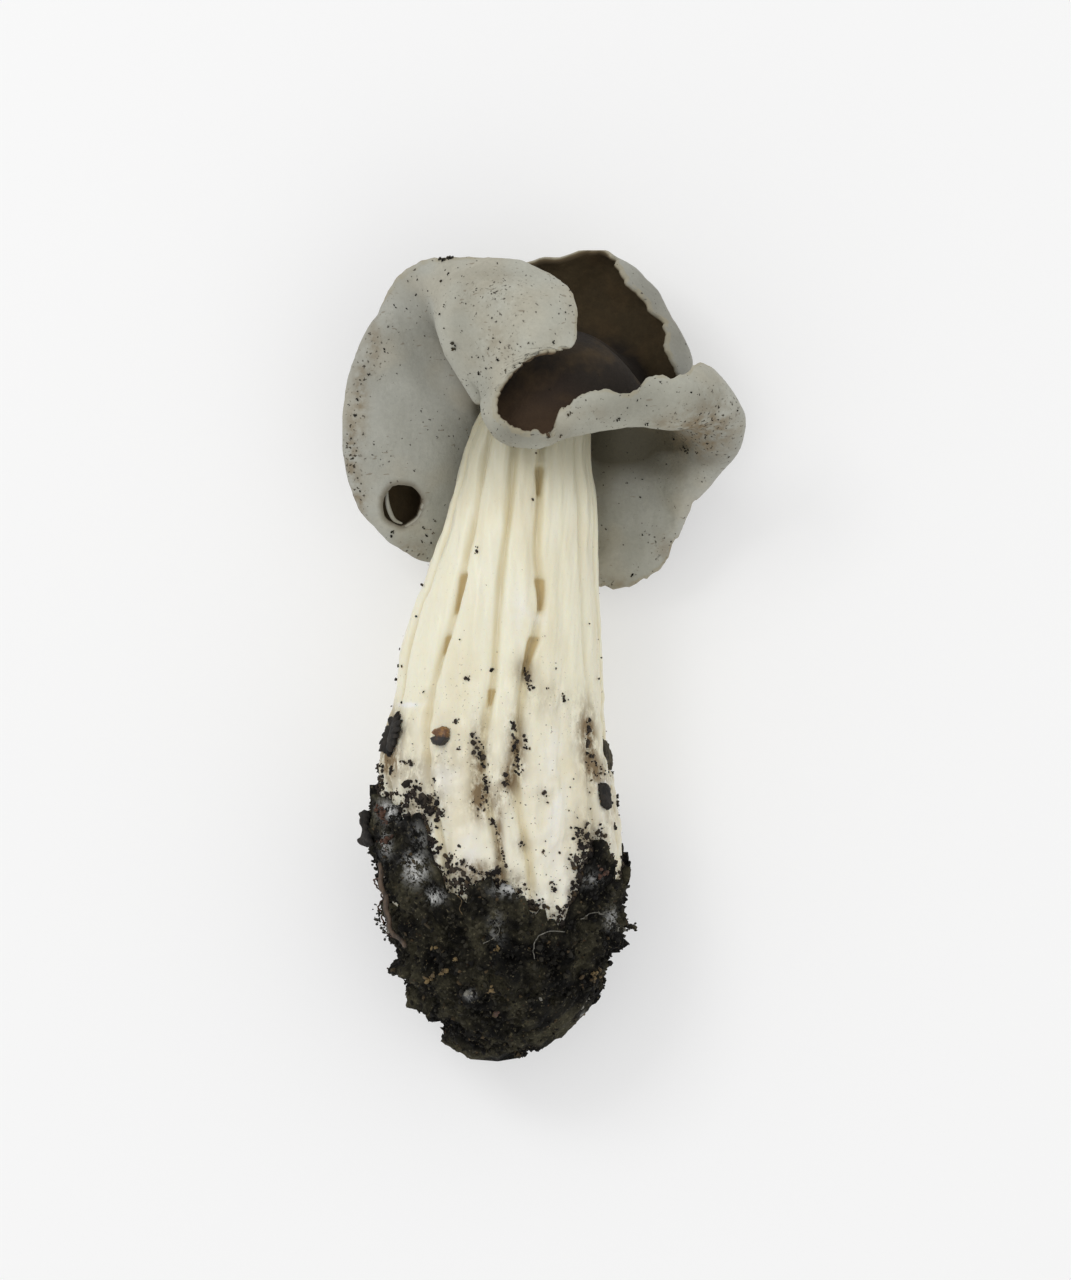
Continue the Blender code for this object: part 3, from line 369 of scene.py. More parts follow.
# A thin curl of skin left standing in the eaten hole, and its half width: a stretch of a sine's arch over a
# least width, less so many radians at its start and end.
CURL_WIDTH = (0.26, 0.05, 0.5, 0.3)
CURL = (
    (-19.9, 20.9, 13.2), (-19.85, 19.5, 12.9), (-19.5, 18.2, 12.4), (-18.9, 17.2, 11.9),
    (-18.0, 16.8, 11.5),
)
STEM_DIRT = (
    (-8.1, -13.4, 1.2, 4.8, 0.9), (-7.8, -18.6, 1.7, 2.2, 1.0), (-3.4, -11.8, 1.3, 4.4, 0.9),
    (-4.6, -16.0, 1.2, 2.2, 0.8), (-19.6, -13.2, 1.2, 2.6, 1.3), (-2.6, -1.8, 1.4, 1.6, 0.5),
    (4.6, -9.0, 1.4, 4.0, 0.4), (-18.4, -9.4, 1.6, 2.4, 0.5), (5.8, -10.6, 1.0, 3.8, 1.0),
    (6.9, -14.8, 1.6, 2.2, 0.8), (-1.8, -3.0, 0.7, 2.2, 0.4), (-16.6, -14.6, 2.0, 2.0, 0.5),
    (-14.8, -18.8, 2.6, 2.2, 0.7), (5.6, -24.0, 2.2, 4.0, 0.6), (-5.6, -23.6, 0.6, 4.6, 0.9),
    (-9.6, -26.8, 2.6, 1.0, 0.8), (-2.8, -24.0, 0.9, 1.2, 0.5), (0.6, -5.4, 2.4, 2.4, 0.25),
    (-19.2, -8.4, 1.0, 2.6, 0.4), (3.4, -30.2, 0.5, 2.2, 0.6), (-6.6, -28.2, 3.0, 1.2, 0.8),
    (8.6, -20.0, 1.0, 4.0, 0.4), (-12.6, -13.0, 2.4, 3.0, 0.26), (-0.2, -17.8, 0.8, 1.0, 0.3),
)
# White swellings on the stem; the first two blots are painted glints, small white highlights.
STEM_WHITES_AND_GLINTS = (
    (-17.2, -6.3, 1.2, 0.30, 2.5), (7.8, -16.2, 0.7, 0.35, 2.5), (-12.6, -15.6, 2.0, 3.0, 0.7),
    (1.2, -18.0, 1.5, 10.0, 0.9), (-9.4, -24.8, 1.5, 3.0, 0.9), (3.2, -31.0, 1.1, 3.2, 0.9),
    (-2.9, 5.0, 1.2, 3.2, 0.8), (-1.2, 5.2, 2.6, 1.6, 0.6), (-0.4, -31.0, 1.4, 2.0, 0.6),
    (-14.6, -25.0, 1.4, 1.6, 0.6),
)
SOIL_MYCELIUM = (
    (-16.3, -27.0, 1.2, 1.5, 1.5), (-19.6, -19.6, 1.2, 1.2, 0.9), (-15.4, -22.8, 1.2, 1.6, 0.28),
    (-20.0, -24.0, 0.6, 1.4, 0.8), (-13.7, -30.5, 0.9, 0.7, 1.6), (-4.1, -29.6, 1.9, 0.8, 0.7),
    (8.6, -33.4, 0.7, 1.2, 0.7), (-9.3, -42.9, 0.6, 0.5, 0.7), (-6.0, -34.6, 0.9, 2.0, 0.25),
    (6.0, -28.4, 1.2, 0.8, 0.4), (5.0, -46.0, 0.3, 0.5, 0.7),
)

# Clusters of crumbs on the stem: (X, Y) of both ends, half width, how many, largest size.
STEM_TRAILS = (
    ((-9.0, -9.6), (-6.9, -17.4), 0.42, 70, 0.42), ((-7.6, -17.6), (-7.6, -19.6), 0.6, 16, 0.26),
    ((-3.9, -8.4), (-2.9, -15.2), 0.42, 56, 0.36), ((-4.7, -15.4), (-4.5, -17.2), 0.34, 16, 0.36),
    ((-2.2, -10.2), (-1.9, -12.2), 0.30, 10, 0.34), ((-1.9, -1.6), (-1.7, -4.6), 0.28, 22, 0.42),
    ((5.9, -8.3), (5.6, -12.6), 0.28, 26, 0.40), ((6.2, -13.2), (7.4, -15.6), 0.6, 26, 0.36),
    ((-6.6, -20.0), (-4.6, -26.9), 0.22, 36, 0.26), ((-11.2, -25.4), (-7.6, -27.9), 0.24, 28, 0.34),
    ((-7.2, -28.0), (-5.4, -26.9), 0.36, 22, 0.42), ((-16.6, -17.2), (-13.6, -20.2), 1.15, 130, 0.55),
    ((-13.4, -20.3), (-12.5, -20.0), 0.4, 12, 0.36), ((4.4, -21.8), (5.8, -25.4), 0.75, 70, 0.5),
    ((5.8, -25.2), (7.0, -28.6), 0.9, 90, 0.55), ((7.0, -24.6), (8.4, -24.2), 0.4, 18, 0.4),
    ((8.8, -21.4), (9.2, -21.8), 0.3, 8, 0.34), ((-2.9, -23.6), (-2.6, -24.2), 0.4, 10, 0.36),
    ((-6.5, -20.8), (-6.4, -21.4), 0.3, 8, 0.30), ((0.0, -17.2), (0.3, -17.7), 0.3, 10, 0.34),
    ((-0.2, -24.6), (-0.1, -25.4), 0.2, 5, 0.26), ((-11.3, -8.3), (-10.9, -8.5), 0.35, 10, 0.38),
    ((-10.9, -11.7), (-10.6, -11.8), 0.2, 4, 0.30), ((-9.7, -2.6), (-9.5, -3.0), 0.26, 7, 0.36),
    ((-6.8, -1.6), (-6.6, -2.0), 0.1, 3, 0.28), ((1.3, -1.7), (1.7, -1.7), 0.1, 3, 0.24),
    ((2.5, -4.8), (2.7, -5.6), 0.2, 6, 0.26), ((0.1, -4.2), (0.7, -4.2), 0.1, 4, 0.22),
    ((-18.6, -1.3), (-18.2, -1.3), 0.1, 4, 0.30), ((-18.2, -5.9), (-17.9, -6.0), 0.1, 4, 0.26),
    ((-18.4, -13.5), (-16.6, -13.7), 0.25, 16, 0.42), ((-20.6, -13.8), (-20.3, -14.6), 0.3, 8, 0.42),
    ((-14.4, -15.6), (-13.9, -15.9), 0.25, 7, 0.32), ((-17.2, -15.6), (-16.0, -16.6), 0.5, 12, 0.30),
    ((-11.0, -24.0), (-10.5, -24.2), 0.1, 5, 0.28), ((-8.4, 14.1), (-8.8, 12.7), 0.12, 6, 0.30),
    ((-1.3, 19.8), (-1.3, 19.7), 0.05, 2, 0.24), ((-0.9, 25.7), (-0.9, 25.6), 0.05, 2, 0.20),
    ((9.9, -17.6), (10.0, -19.4), 0.2, 12, 0.36), ((3.6, -28.6), (3.7, -30.0), 0.2, 10, 0.34),
    ((1.0, -28.4), (1.6, -30.0), 0.5, 16, 0.40), ((-9.6, -28.8), (-7.0, -28.6), 0.4, 24, 0.42),
    ((-20.6, -17.6), (-20.6, -22.0), 0.3, 22, 0.42), ((8.6, -15.4), (9.6, -13.2), 0.3, 8, 0.20),
)
CRUMB_LEAST = 0.12
# Strays: how many, the Y they start from and how far down they reach, the draw's two powers, and their sizes.
STEM_STRAYS = 300
STRAY_TOP, STRAY_REACH, STRAY_DRAW, STRAY_SIZES = 26.0, 60.0, (3.2, 1.6), (0.05, 0.26)
# Bits on the cap: (X, Y, size).
CAP_BITS = (
    (-20.0, 38.5, 0.36), (-11.9, 39.3, 0.42), (-11.8, 38.7, 0.36), (-12.2, 48.5, 0.26), (-13.2, 47.7, 0.28),
    (-6.1, 37.8, 0.30), (1.6, 39.5, 0.26), (3.6, 30.7, 0.28), (4.0, 30.6, 0.24), (0.9, 34.1, 0.16),
    (9.2, 29.4, 0.34), (9.7, 29.5, 0.26), (13.1, 29.0, 0.28), (16.2, 27.3, 0.32), (17.4, 26.3, 0.30),
    (17.9, 25.9, 0.34), (-25.2, 26.4, 0.26), (-19.5, 15.0, 0.26), (-19.1, 15.3, 0.26), (-18.8, 15.5, 0.22),
    (11.3, 9.9, 0.30), (23.6, 24.8, 0.20), (-16.6, 45.6, 0.26), (-19.2, 44.2, 0.20), (-5.2, 36.0, 0.22),
    (-8.4, 35.4, 0.24), (-4.0, 36.4, 0.18), (-22.4, 35.4, 0.22), (-24.8, 31.4, 0.22), (-23.9, 30.4, 0.26),
    (-24.4, 27.6, 0.18), (7.2, 21.6, 0.20), (12.2, 22.0, 0.16), (22.6, 31.4, 0.16), (-17.8, 36.6, 0.14),
    (-22.2, 41.0, 0.16), (-13.4, 43.2, 0.22), (-13.0, 41.6, 0.20), (18.8, 33.6, 0.18), (7.4, 35.6, 0.14),
    (-7.1, 36.4, 0.24), (-5.7, 39.8, 0.22), (-7.3, 39.2, 0.18), (-4.7, 38.8, 0.20), (-1.5, 39.2, 0.22),
    (-2.3, 39.3, 0.20), (-3.3, 39.0, 0.18), (3.5, 44.6, 0.18), (3.1, 43.6, 0.18), (-9.0, 46.7, 0.18),
    (-5.0, 47.7, 0.18), (-6.9, 42.9, 0.16), (-10.3, 44.6, 0.20), (-12.7, 44.6, 0.22), (-10.8, 41.0, 0.20),
    (-9.5, 37.8, 0.18), (-17.5, 47.2, 0.18), (-16.4, 47.5, 0.16), (-9.8, 49.7, 0.18), (-10.8, 49.4, 0.16),
    (-6.1, 49.9, 0.16), (2.6, 27.7, 0.24), (10.9, 31.0, 0.16), (20.0, 33.0, 0.16), (20.1, 30.5, 0.20),
    (19.3, 25.4, 0.26), (20.5, 26.6, 0.22), (25.0, 31.2, 0.20), (16.7, 30.3, 0.14), (14.7, 34.9, 0.16),
    (18.4, 39.7, 0.16), (12.0, 20.1, 0.20), (12.3, 15.3, 0.18), (7.7, 15.8, 0.18), (16.2, 14.0, 0.18),
    (-22.9, 27.8, 0.20), (-13.4, 27.4, 0.18), (-16.1, 23.3, 0.18), (-23.6, 33.0, 0.26), (-15.2, 15.8, 0.26),
    (-14.7, 15.0, 0.30), (-14.2, 14.2, 0.28), (-14.9, 14.0, 0.26), (-13.6, 16.7, 0.18), (-13.9, 15.4, 0.20),
    (-23.9, 30.2, 0.24), (-24.3, 24.6, 0.24), (-23.0, 20.6, 0.20),
)
CRUMBS_PER_BIT = 4
# Strays on the cap: how many, their sizes, the Z above which they crowd and the share below it, and the X
# left of which the wing's side has more of them, by this factor.
CAP_STRAYS, CAP_STRAY_SIZES = 420, (0.045, 0.17)
CAP_STRAY_TOP, CAP_STRAY_LOW_SHARE, CAP_STRAY_LEFT, CAP_STRAY_LEFT_FACTOR = 20, 0.35, -19, 1.6
# A row of crumbs on the flap's top edge: middle X and Y, half length, how many.
TOP_SLIVER = (-12.4, 50.75, 0.95, 40)

# Bright and brown bits in the soil: (kind, X, Y, half width, half length, turn in degrees).
SOIL_BITS = (
    ("ochre", -14.2, -40.7, 0.75, 0.42, 35), ("ochre", 6.3, -40.7, 0.38, 0.95, -10),
    ("ochre", -13.4, -36.8, 0.28, 0.24, 0), ("ochre", -11.1, -38.3, 0.34, 0.26, 20),
    ("ochre", -5.7, -37.1, 0.60, 0.24, 15), ("ochre", -6.6, -42.4, 0.36, 0.28, 60),
    ("pale", -9.3, -42.9, 0.34, 0.42, 30), ("pale", 5.0, -46.0, 0.22, 0.36, 0),
    ("pale", -19.0, -34.8, 0.36, 0.40, 0), ("ochre", -12.6, -40.0, 0.5, 0.22, 40),
    ("ochre", 1.6, -47.6, 0.26, 0.2, 10), ("pale", 9.6, -34.6, 0.3, 0.5, 10),
    ("rust", -20.2, -20.4, 0.5, 1.1, 8), ("rust", -6.0, -45.2, 0.3, 0.24, 0),
    ("rust", 7.0, -27.6, 0.4, 0.8, 15), ("rust", -19.6, -24.0, 0.4, 0.9, -8),
    ("ochre", 6.0, -47.4, 0.2, 0.5, -12), ("pale", -0.4, -44.4, 0.16, 0.14, 0),
)
BIT_LEAST_CRUMBS, BIT_CRUMBS_PER_AREA, BIT_LIFT, BIT_SIZES = 3, 36, 0.45, (0.18, 0.46)
# Threads and needles: (kind, radius, lift, then (X, Y) points).
THREADS = (
    ("pale", 0.06, 0.4, ((-1.1, -38.4), (-1.2, -36.6), (-0.5, -35.3), (1.0, -34.9), (2.8, -35.0))),
    ("pale", 0.05, 0.4, ((-6.2, -33.6), (-5.6, -34.8), (-6.4, -35.8), (-7.6, -36.4))),
    ("pale", 0.06, 0.5, ((5.0, -33.4), (6.4, -32.6), (7.6, -32.8), (8.6, -31.8))),
    ("ochre", 0.05, 0.5, ((-10.6, -30.4), (-10.2, -31.2), (-10.6, -32.0), (-10.2, -32.8))),
    ("rust", 0.11, 0.5, ((-20.4, -28.0), (-21.4, -30.0), (-21.0, -32.0), (-21.2, -34.2))),
    ("rust", 0.09, 0.5, ((-20.8, -33.0), (-20.2, -34.8), (-19.0, -35.6), (-17.8, -36.0))),
)
# Heaps that stand out from the clod's sides: (how many crumbs, spread, size), then (X, Y, Z) points.
SPURS = (
    ((60, 0.32, 0.36), ((8.6, -34.2, 11.0), (10.2, -34.6, 11.4), (11.4, -34.5, 11.6))),
    ((30, 0.28, 0.40), ((-20.4, -25.0, 13.6), (-21.2, -26.0, 13.4), (-21.0, -27.0, 13.2))),
    ((70, 0.30, 0.26), ((-20.6, -31.4, 12.4), (-20.9, -33.4, 12.4), (-19.6, -35.6, 12.4))),
)
CLOD_CRUMBS = 7200
# How much more common small crumbs are than large ones: the power of an even draw.
SMALL_SHARE_POWER = 2.6
CLOD_CROWDING = 0.9
CLOD_CRUMB_SIZES = (0.10, 0.50)
# Clumps of crumbs over the clod's upper edge: how many, how far out, crumbs in each, spread.
EDGE_CLUMPS = 190
EDGE_REACH = 0.75
EDGE_CLUMP_COUNT = (4, 30)
EDGE_CLUMP_SPREAD = (0.2, 0.75)
EDGE_SAMPLES = 3000
STEM_FOOT_RADIUS = 15.0


def clip_to_box(points):
    """Metres from millimetres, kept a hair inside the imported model's box."""
    low, high = np.array(CAD_BOX)
    hair = 2e-5
    return np.clip((np.asarray(points) - MIDDLE) * MM, low + (hair, hair, 0.0), high - hair)


def spline(knots, at, start_slope=None):
    """A cubic spline with continuous curvature through knots (rows), read at positions in knot numbers."""
    knots = np.asarray(knots, float)
    last = len(knots) - 1
    matrix = np.diag(np.full(last + 1, 4.0)) + np.diag(np.ones(last), 1) + np.diag(np.ones(last), -1)
    matrix[0, 0] = matrix[last, last] = 2.0
    right = np.zeros_like(knots)
    right[1:last] = 3.0 * (knots[2:] - knots[:-2])
    right[0] = 3.0 * (knots[1] - knots[0])
    right[last] = 3.0 * (knots[last] - knots[last - 1])
    if start_slope is not None:
        matrix[0, 0] = 1.0
        matrix[0, 1] = 0.0
        right[0] = start_slope
    slopes = np.linalg.solve(matrix, right.reshape(last + 1, -1)).reshape(knots.shape)
    return hermite(knots, slopes, at, last)


def ring_spline(knots, at):
    """The same through a closed ring of knots."""
    knots = np.asarray(knots, float)
    count = len(knots)
    matrix = 4.0 * np.eye(count) + np.roll(np.eye(count), 1, axis=1) + np.roll(np.eye(count), -1, axis=1)
    right = 3.0 * (np.roll(knots, -1, axis=0) - np.roll(knots, 1, axis=0))
    slopes = np.linalg.solve(matrix, right.reshape(count, -1)).reshape(knots.shape)
    closed = np.concatenate([knots, knots[:1]])
    closed_slopes = np.concatenate([slopes, slopes[:1]])
    return hermite(closed, closed_slopes, np.mod(at, count), count)


def hermite(knots, slopes, at, last):
    at = np.asarray(at, float)
    index = np.clip(np.floor(at).astype(int), 0, last - 1)
    t = (at - index).reshape(at.shape + (1,) * (knots.ndim - 1))
    a, b, ma, mb = knots[index], knots[index + 1], slopes[index], slopes[index + 1]
    return (
        (2 * t**3 - 3 * t**2 + 1) * a + (t**3 - 2 * t**2 + t) * ma
        + (3 * t**2 - 2 * t**3) * b + (t**3 - t**2) * mb
    )


def smooth_rows(rows, y):
    """Columns 1.. of a table of rows, read smoothly at each Y (column 0)."""
    table = np.asarray(rows, float)
    place = np.interp(y, table[:, 0], np.arange(len(table)))
    return spline(table[:, 1:], place)


def lumps(points, size, seed, waves=14):
    """Smooth noise from -1 to 1: a sum of sine waves of about the given size in seeded directions."""
    random = np.random.default_rng(seed)
    directions = random.normal(size=(waves, 3))
    directions /= np.linalg.norm(directions, axis=1, keepdims=True)
    lengths = size * random.uniform(0.6, 1.5, waves)
    phases = random.uniform(0.0, 2 * math.pi, waves)
    total = np.zeros(points.shape[:-1])
    for direction, length, phase in zip(directions, lengths, phases):
        total += np.sin(points @ direction * (2 * math.pi / length) + phase)
    return total / math.sqrt(waves)


def layered(points, layers):
    """Fine relief: the sum of layers of smooth noise, each of its own height and size."""
    return sum(height * lumps(points, *rest) for height, *rest in layers)


def smooth_path(spots, count):
    """A smooth line of points through a few spots."""
    return spline(spots, np.linspace(0, len(spots) - 1, count))


def full_turn(count):
    """The angles of a ring of so many points."""
    return np.arange(count) * 2 * math.pi / count


def beating(turn, rows):
    """The sum of waves round a ring, each swelled and stilled by its beats."""
    return sum(
        height * np.sin(waves * turn + phase) * (np.sin(beats * turn + beat_phase) if beats else 1.0)
        for height, waves, phase, beats, beat_phase in rows
    )


def cap_middle(rows, columns):
    """The cap's middle surface: a spline out along each meridian, then a closed spline round the stations."""
    axis = np.array(CAP_POLE_AXIS) / np.linalg.norm(CAP_POLE_AXIS)
    meridians = []
    for station in CAP_STATIONS:
        knots = np.array([CAP_POLE, *station[1:]])
        slope = knots[1] - knots[0]
        slope = (slope - axis * (slope @ axis)) * CAP_POLE_SLOPE
        meridians.append(spline(knots, np.asarray(rows) * (len(knots) - 1), slope))
    return np.swapaxes(ring_spline(np.array(meridians), columns), 0, 1)


def ragged(columns):
    """How far the eroded margin falls short of (or passes) the meridians' ends, in knots."""
    turn = columns / len(CAP_STATIONS) * 2 * math.pi
    return beating(turn, CAP_RAGGED) * ragged_amount(columns)


def ragged_amount(columns):
    station, amount = zip(*CAP_RAGGED_AMOUNT)
    return np.interp(columns, station, amount, period=len(CAP_STATIONS))


def surface_normals(grid):
    """Unit normals of a grid closed round its columns, pointing away from the spore-bearing side."""
    along = np.gradient(grid, axis=0)
    around = (np.roll(grid, -1, axis=1) - np.roll(grid, 1, axis=1)) / 2
    normals = np.cross(along, around)
    return normals / np.maximum(np.linalg.norm(normals, axis=2, keepdims=True), 1e-9)


def groove_angles(y):
    """Angle of each groove, in radians, at each Y: rows are Y, columns are grooves."""
    levels = np.array(GROOVE_LEVELS)[::-1]
    place = np.interp(y, levels, np.arange(len(levels)))
    angles = np.radians([groove[2][::-1] for groove in GROOVES]).T
    return spline(angles, place)


def window(y, top, foot, soft):
    """1 between foot and top, falling smoothly to 0 over a soft length at each end."""
    rise = np.clip((y - foot) / soft + 0.5, 0, 1) * np.clip((top - y) / soft + 0.5, 0, 1)
    return rise * rise * (3 - 2 * rise)


def rib_place(y, turn):
    """Where a point lies among the ribs.

    The turn on to each groove, the turn back to each, the share of the way across its own rib, and the
    distance from each groove.
    """
    angles = groove_angles(y)
    ahead = np.mod(angles - turn[..., None], 2 * math.pi)
    behind = np.mod(turn[..., None] - angles, 2 * math.pi)
    next_groove, last_groove = ahead.min(axis=-1), behind.min(axis=-1)
    across = last_groove / np.maximum(last_groove + next_groove, 1e-9)
    away = np.minimum(ahead, behind) * smooth_rows(STEM_ROWS, y)[..., 2:].mean(axis=-1, keepdims=True)
    return ahead, behind, across, away


def rib_fade(y):
    """The share of the ribs' depth that is left at each Y."""
    foot, length, least = GROOVE_FADE
    return np.clip((y - foot) / length, least, 1.0)


def stem_inward(y, turn):
    """How far the plain ribbed skin lies inside the oval of STEM_ROWS, at each Y and angle.

    It is the ribs' rounding, a bell-shaped groove at every groove's angle and a narrow well at each slit.
    """
    _, _, across, away = rib_place(y, turn)
    inward = RIB_CROWN * np.abs(2 * across - 1) ** RIB_CROWN_POWER
    for number, (depth, width, _) in enumerate(GROOVES):
        inward = inward + depth * np.exp(-((away[..., number] / width) ** 2))
    for groove, top, foot, half_width, extra in SLITS:
        well = extra / (1 + (away[..., groove] / half_width) ** 6)
        inward = inward + well * window(y, top, foot, SLIT_SOFT)
    return inward * rib_fade(y)


def stem_skin(turn, y, grow):
    """A point of the ribbed stem at an angle and Y, grown outwards."""
    return oval_point(STEM_ROWS, y, turn, grow - stem_inward(y, turn))


def oval_point(rows, y, turn, grow=0.0):
    """A point of an oval column at Y and angle, grown outwards."""
    centre_x, centre_z, half_x, half_z = np.moveaxis(smooth_rows(rows, y), -1, 0)
    x = centre_x + (half_x + grow) * np.sin(turn)
    z = centre_z + (half_z + grow) * np.cos(turn)
    return np.stack([x, y, z], axis=-1)


def soil_edge(turn):
    """Y of the soil's upper edge at each angle."""
    table = np.array(SOIL_EDGE, float)
    first = table[0, 0]
    angle = np.mod(np.degrees(turn) - first, 360) + first
    place = np.interp(angle, np.append(table[:, 0], first + 360), np.arange(len(table) + 1))
    return ring_spline(table[:, 1], place)


def off_clod(point):
    """Unit directions out of the clod's middle, flattened along the stem."""
    push = point - SOIL_MIDDLE
    push[..., 1] *= 0.5
    return push / np.linalg.norm(push, axis=-1, keepdims=True)


def soil_skin(turn, y, grow):
    """The clod's skin at an angle and Y, grown outwards: an oval pushed in and out by two sizes of lump.

    The lumps fade out towards the upper edge, where the crust thins to a rim on the stem.
    """
    below = np.clip((soil_edge(turn) - y) / SOIL_RIM_LENGTH, 0.0, 1.0)
    thick = oval_point(SOIL_ROWS, y, turn)
    rim = oval_point(STEM_ROWS, np.maximum(y, STEM_ROWS[0][0]), turn, GAP + SOIL_RIM_THICK)
    rim[..., 1] = y
    point = rim + (thick - rim) * np.minimum(below * 2, 1)[..., None]
    rough = lumps(point, SOIL_LUMP_SIZE, 5) + 0.5 * lumps(point, SOIL_LUMP_SIZE / 2, 6)
    return point + off_clod(point) * (rough * SOIL_LUMP * below + grow)[..., None]


def signed_volume(points, groups):
    """Six times the volume inside closed faces: positive if they point outwards."""
    total = 0.0
    for group in groups:
        first = points[group[:, 0]]
        for k in range(1, group.shape[1] - 1):
            total += np.einsum("ij,ij->", first, np.cross(points[group[:, k]], points[group[:, k + 1]]))
    return total


def new_piece(name, points, groups, finish, slot, stands_for=(), smooth=True, **values):
    """A piece on the root body from points in millimetres, arrays of faces and numbers at its points."""
    points = clip_to_box(points)
    if signed_volume(points, groups) < 0:
        groups = [group[:, ::-1] for group in groups]
    corners = np.concatenate([group.ravel() for group in groups])
    sizes = np.concatenate([np.full(len(group), group.shape[1]) for group in groups])
    mesh = bpy.data.meshes.new(name)
    mesh.vertices.add(len(points))
    mesh.loops.add(len(corners))
    mesh.polygons.add(len(sizes))
    mesh.vertices.foreach_set("co", points.ravel())
    mesh.loops.foreach_set("vertex_index", corners)
    mesh.polygons.foreach_set("loop_start", np.cumsum(sizes) - sizes)
    mesh.update(calc_edges=True)
    mesh.validate()
    if smooth:
        mesh.shade_smooth()
    else:
        mesh.shade_flat()
    for value, numbers in values.items():
        numbers = np.asarray(numbers, float).ravel()
        mesh.attributes.new(value, "FLOAT", "POINT").data.foreach_set("value", numbers)
    mesh.materials.append(finish)
    made = bpy.data.objects.new(name, mesh)
    bpy.context.scene.collection.objects.link(made)
    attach(made, "root")
    if stands_for:
        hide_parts(*stands_for)
    return made


def ring_quads(rows, columns, start=2):
    """Quads of a grid of rows that close round its columns, as an array of (row, column, corner)."""
    r, c = np.meshgrid(np.arange(rows - 1), np.arange(columns), indexing="ij")
    n = (c + 1) % columns
    here, above = r * columns, (r + 1) * columns
    return np.stack([here + c, here + n, above + n, above + c], axis=-1) + start


def closed_skin(rings, first_pole, last_pole):
    """Points and faces of a closed skin through rings, with a pole at each end."""
    count, columns = rings.shape[:2]
    points = np.concatenate([[first_pole, last_pole], rings.reshape(-1, 3)])
    ahead = np.arange(columns)
    after = (ahead + 1) % columns
    start = 2 + (count - 1) * columns
    first = np.stack([np.zeros(columns, int), after + 2, ahead + 2], axis=1)
    last = np.stack([np.ones(columns, int), start + ahead, start + after], axis=1)
    return points, [first, ring_quads(count, columns).reshape(-1, 4), last]


def blots(points, table, above, below=FAR):
    """Sum of soft oval blots seen from above, for points between two heights."""
    total = np.zeros(points.shape[:-1])
    for x, y, half_x, half_y, strength in table:
        across, along = (points[..., 0] - x) / half_x, (points[..., 1] - y) / half_y
        total += strength * np.exp(-(across**2) - along**2)
    return total * (points[..., 2] > above) * (points[..., 2] < below)


def bites(columns):
    """Knots cut off the margin at each column: a smooth-sided notch for every entry of MARGIN_BITES."""
    count = len(CAP_STATIONS)
    total = np.zeros_like(columns)
    for station, half_width, depth in MARGIN_BITES:
        away = np.abs(np.mod(columns - station + count / 2, count) - count / 2)
        total += depth / (1 + (away / half_width) ** 6)
    return total + beating(columns / count * 2 * math.pi, CAP_NIBBLES) * ragged_amount(columns)


def cap_sheet():
    """The cap's middle surface and its normals on the fine grid, and each point's distance from the margin.

    The margin is drawn in by its bites, and the sheet swells and sinks in soft lumps away from the stem.
    """
    columns = np.arange(CAP_FINE_COLUMNS) * len(CAP_STATIONS) / CAP_FINE_COLUMNS
    shares = np.linspace(0.0, 1.0, CAP_FINE_ROWS + 1)[1:] ** CAP_ROW_CROWDING
    middle = cap_middle(shares, columns)
    inward = (cap_middle(shares - CAP_STEP, columns) - middle) / (CAP_STEP * (len(CAP_STATIONS[0]) - 1))
    cut = (ragged(columns) + bites(columns))[None, :, None]
    middle += inward * cut * shares[:, None, None] ** CAP_RAGGED_FADE
    normals = surface_normals(middle)
    start, end = CAP_RELIEF_STARTS
    away_from_stem = np.clip((shares - start) / (end - start), 0, 1)[:, None]
    middle += normals * (layered(middle, CAP_RELIEF) * away_from_stem)[..., None]
    steps = np.linalg.norm(np.diff(middle, axis=0), axis=2)
    edge = np.concatenate([np.cumsum(steps[::-1], axis=0)[::-1], np.zeros((1, CAP_FINE_COLUMNS))])
    return shares, middle, surface_normals(middle), edge


def hole_distance(points):
    """A point's distance from the eaten hole's middle, seen from above, as a share of its ragged outline."""
    x, y, half_x, half_y = WING_HOLE
    across, along = (points[..., 0] - x) / half_x, (points[..., 1] - y) / half_y
    angle = np.arctan2(along, across)
    bay = np.mod(angle - HOLE_BAY[0] + math.pi, 2 * math.pi) - math.pi
    outline = 1 + beating(angle, HOLE_WAVES)
    outline += HOLE_BAY[2] * np.exp(-((bay / HOLE_BAY[1]) ** 2))
    near = (points[..., 2] > WING_HOLE_Z[0]) & (points[..., 2] < WING_HOLE_Z[1])
    return np.where(near, np.hypot(across, along) / outline, FAR)


def open_hole(middle):
    """Which quads of the sheet the eaten hole takes away; their border points are drawn onto its outline."""
    after = np.roll(middle, -1, axis=1)
    centres = (middle[:-1] + middle[1:] + after[:-1] + after[1:]) / 4
    taken = hole_distance(centres) < 1.0
    around = np.zeros(middle.shape[:2], int)
    for row, column in ((0, 0), (1, 0), (0, 1), (1, 1)):
        around[row:len(around) - 1 + row] += np.roll(taken, column, axis=1)
    border = (around > 0) & (around < 4)
    centre = np.array(WING_HOLE[:2])
    drawn = centre + (middle[border][:, :2] - centre) / hole_distance(middle[border])[:, None]
    middle[border, :2] = drawn
    return taken


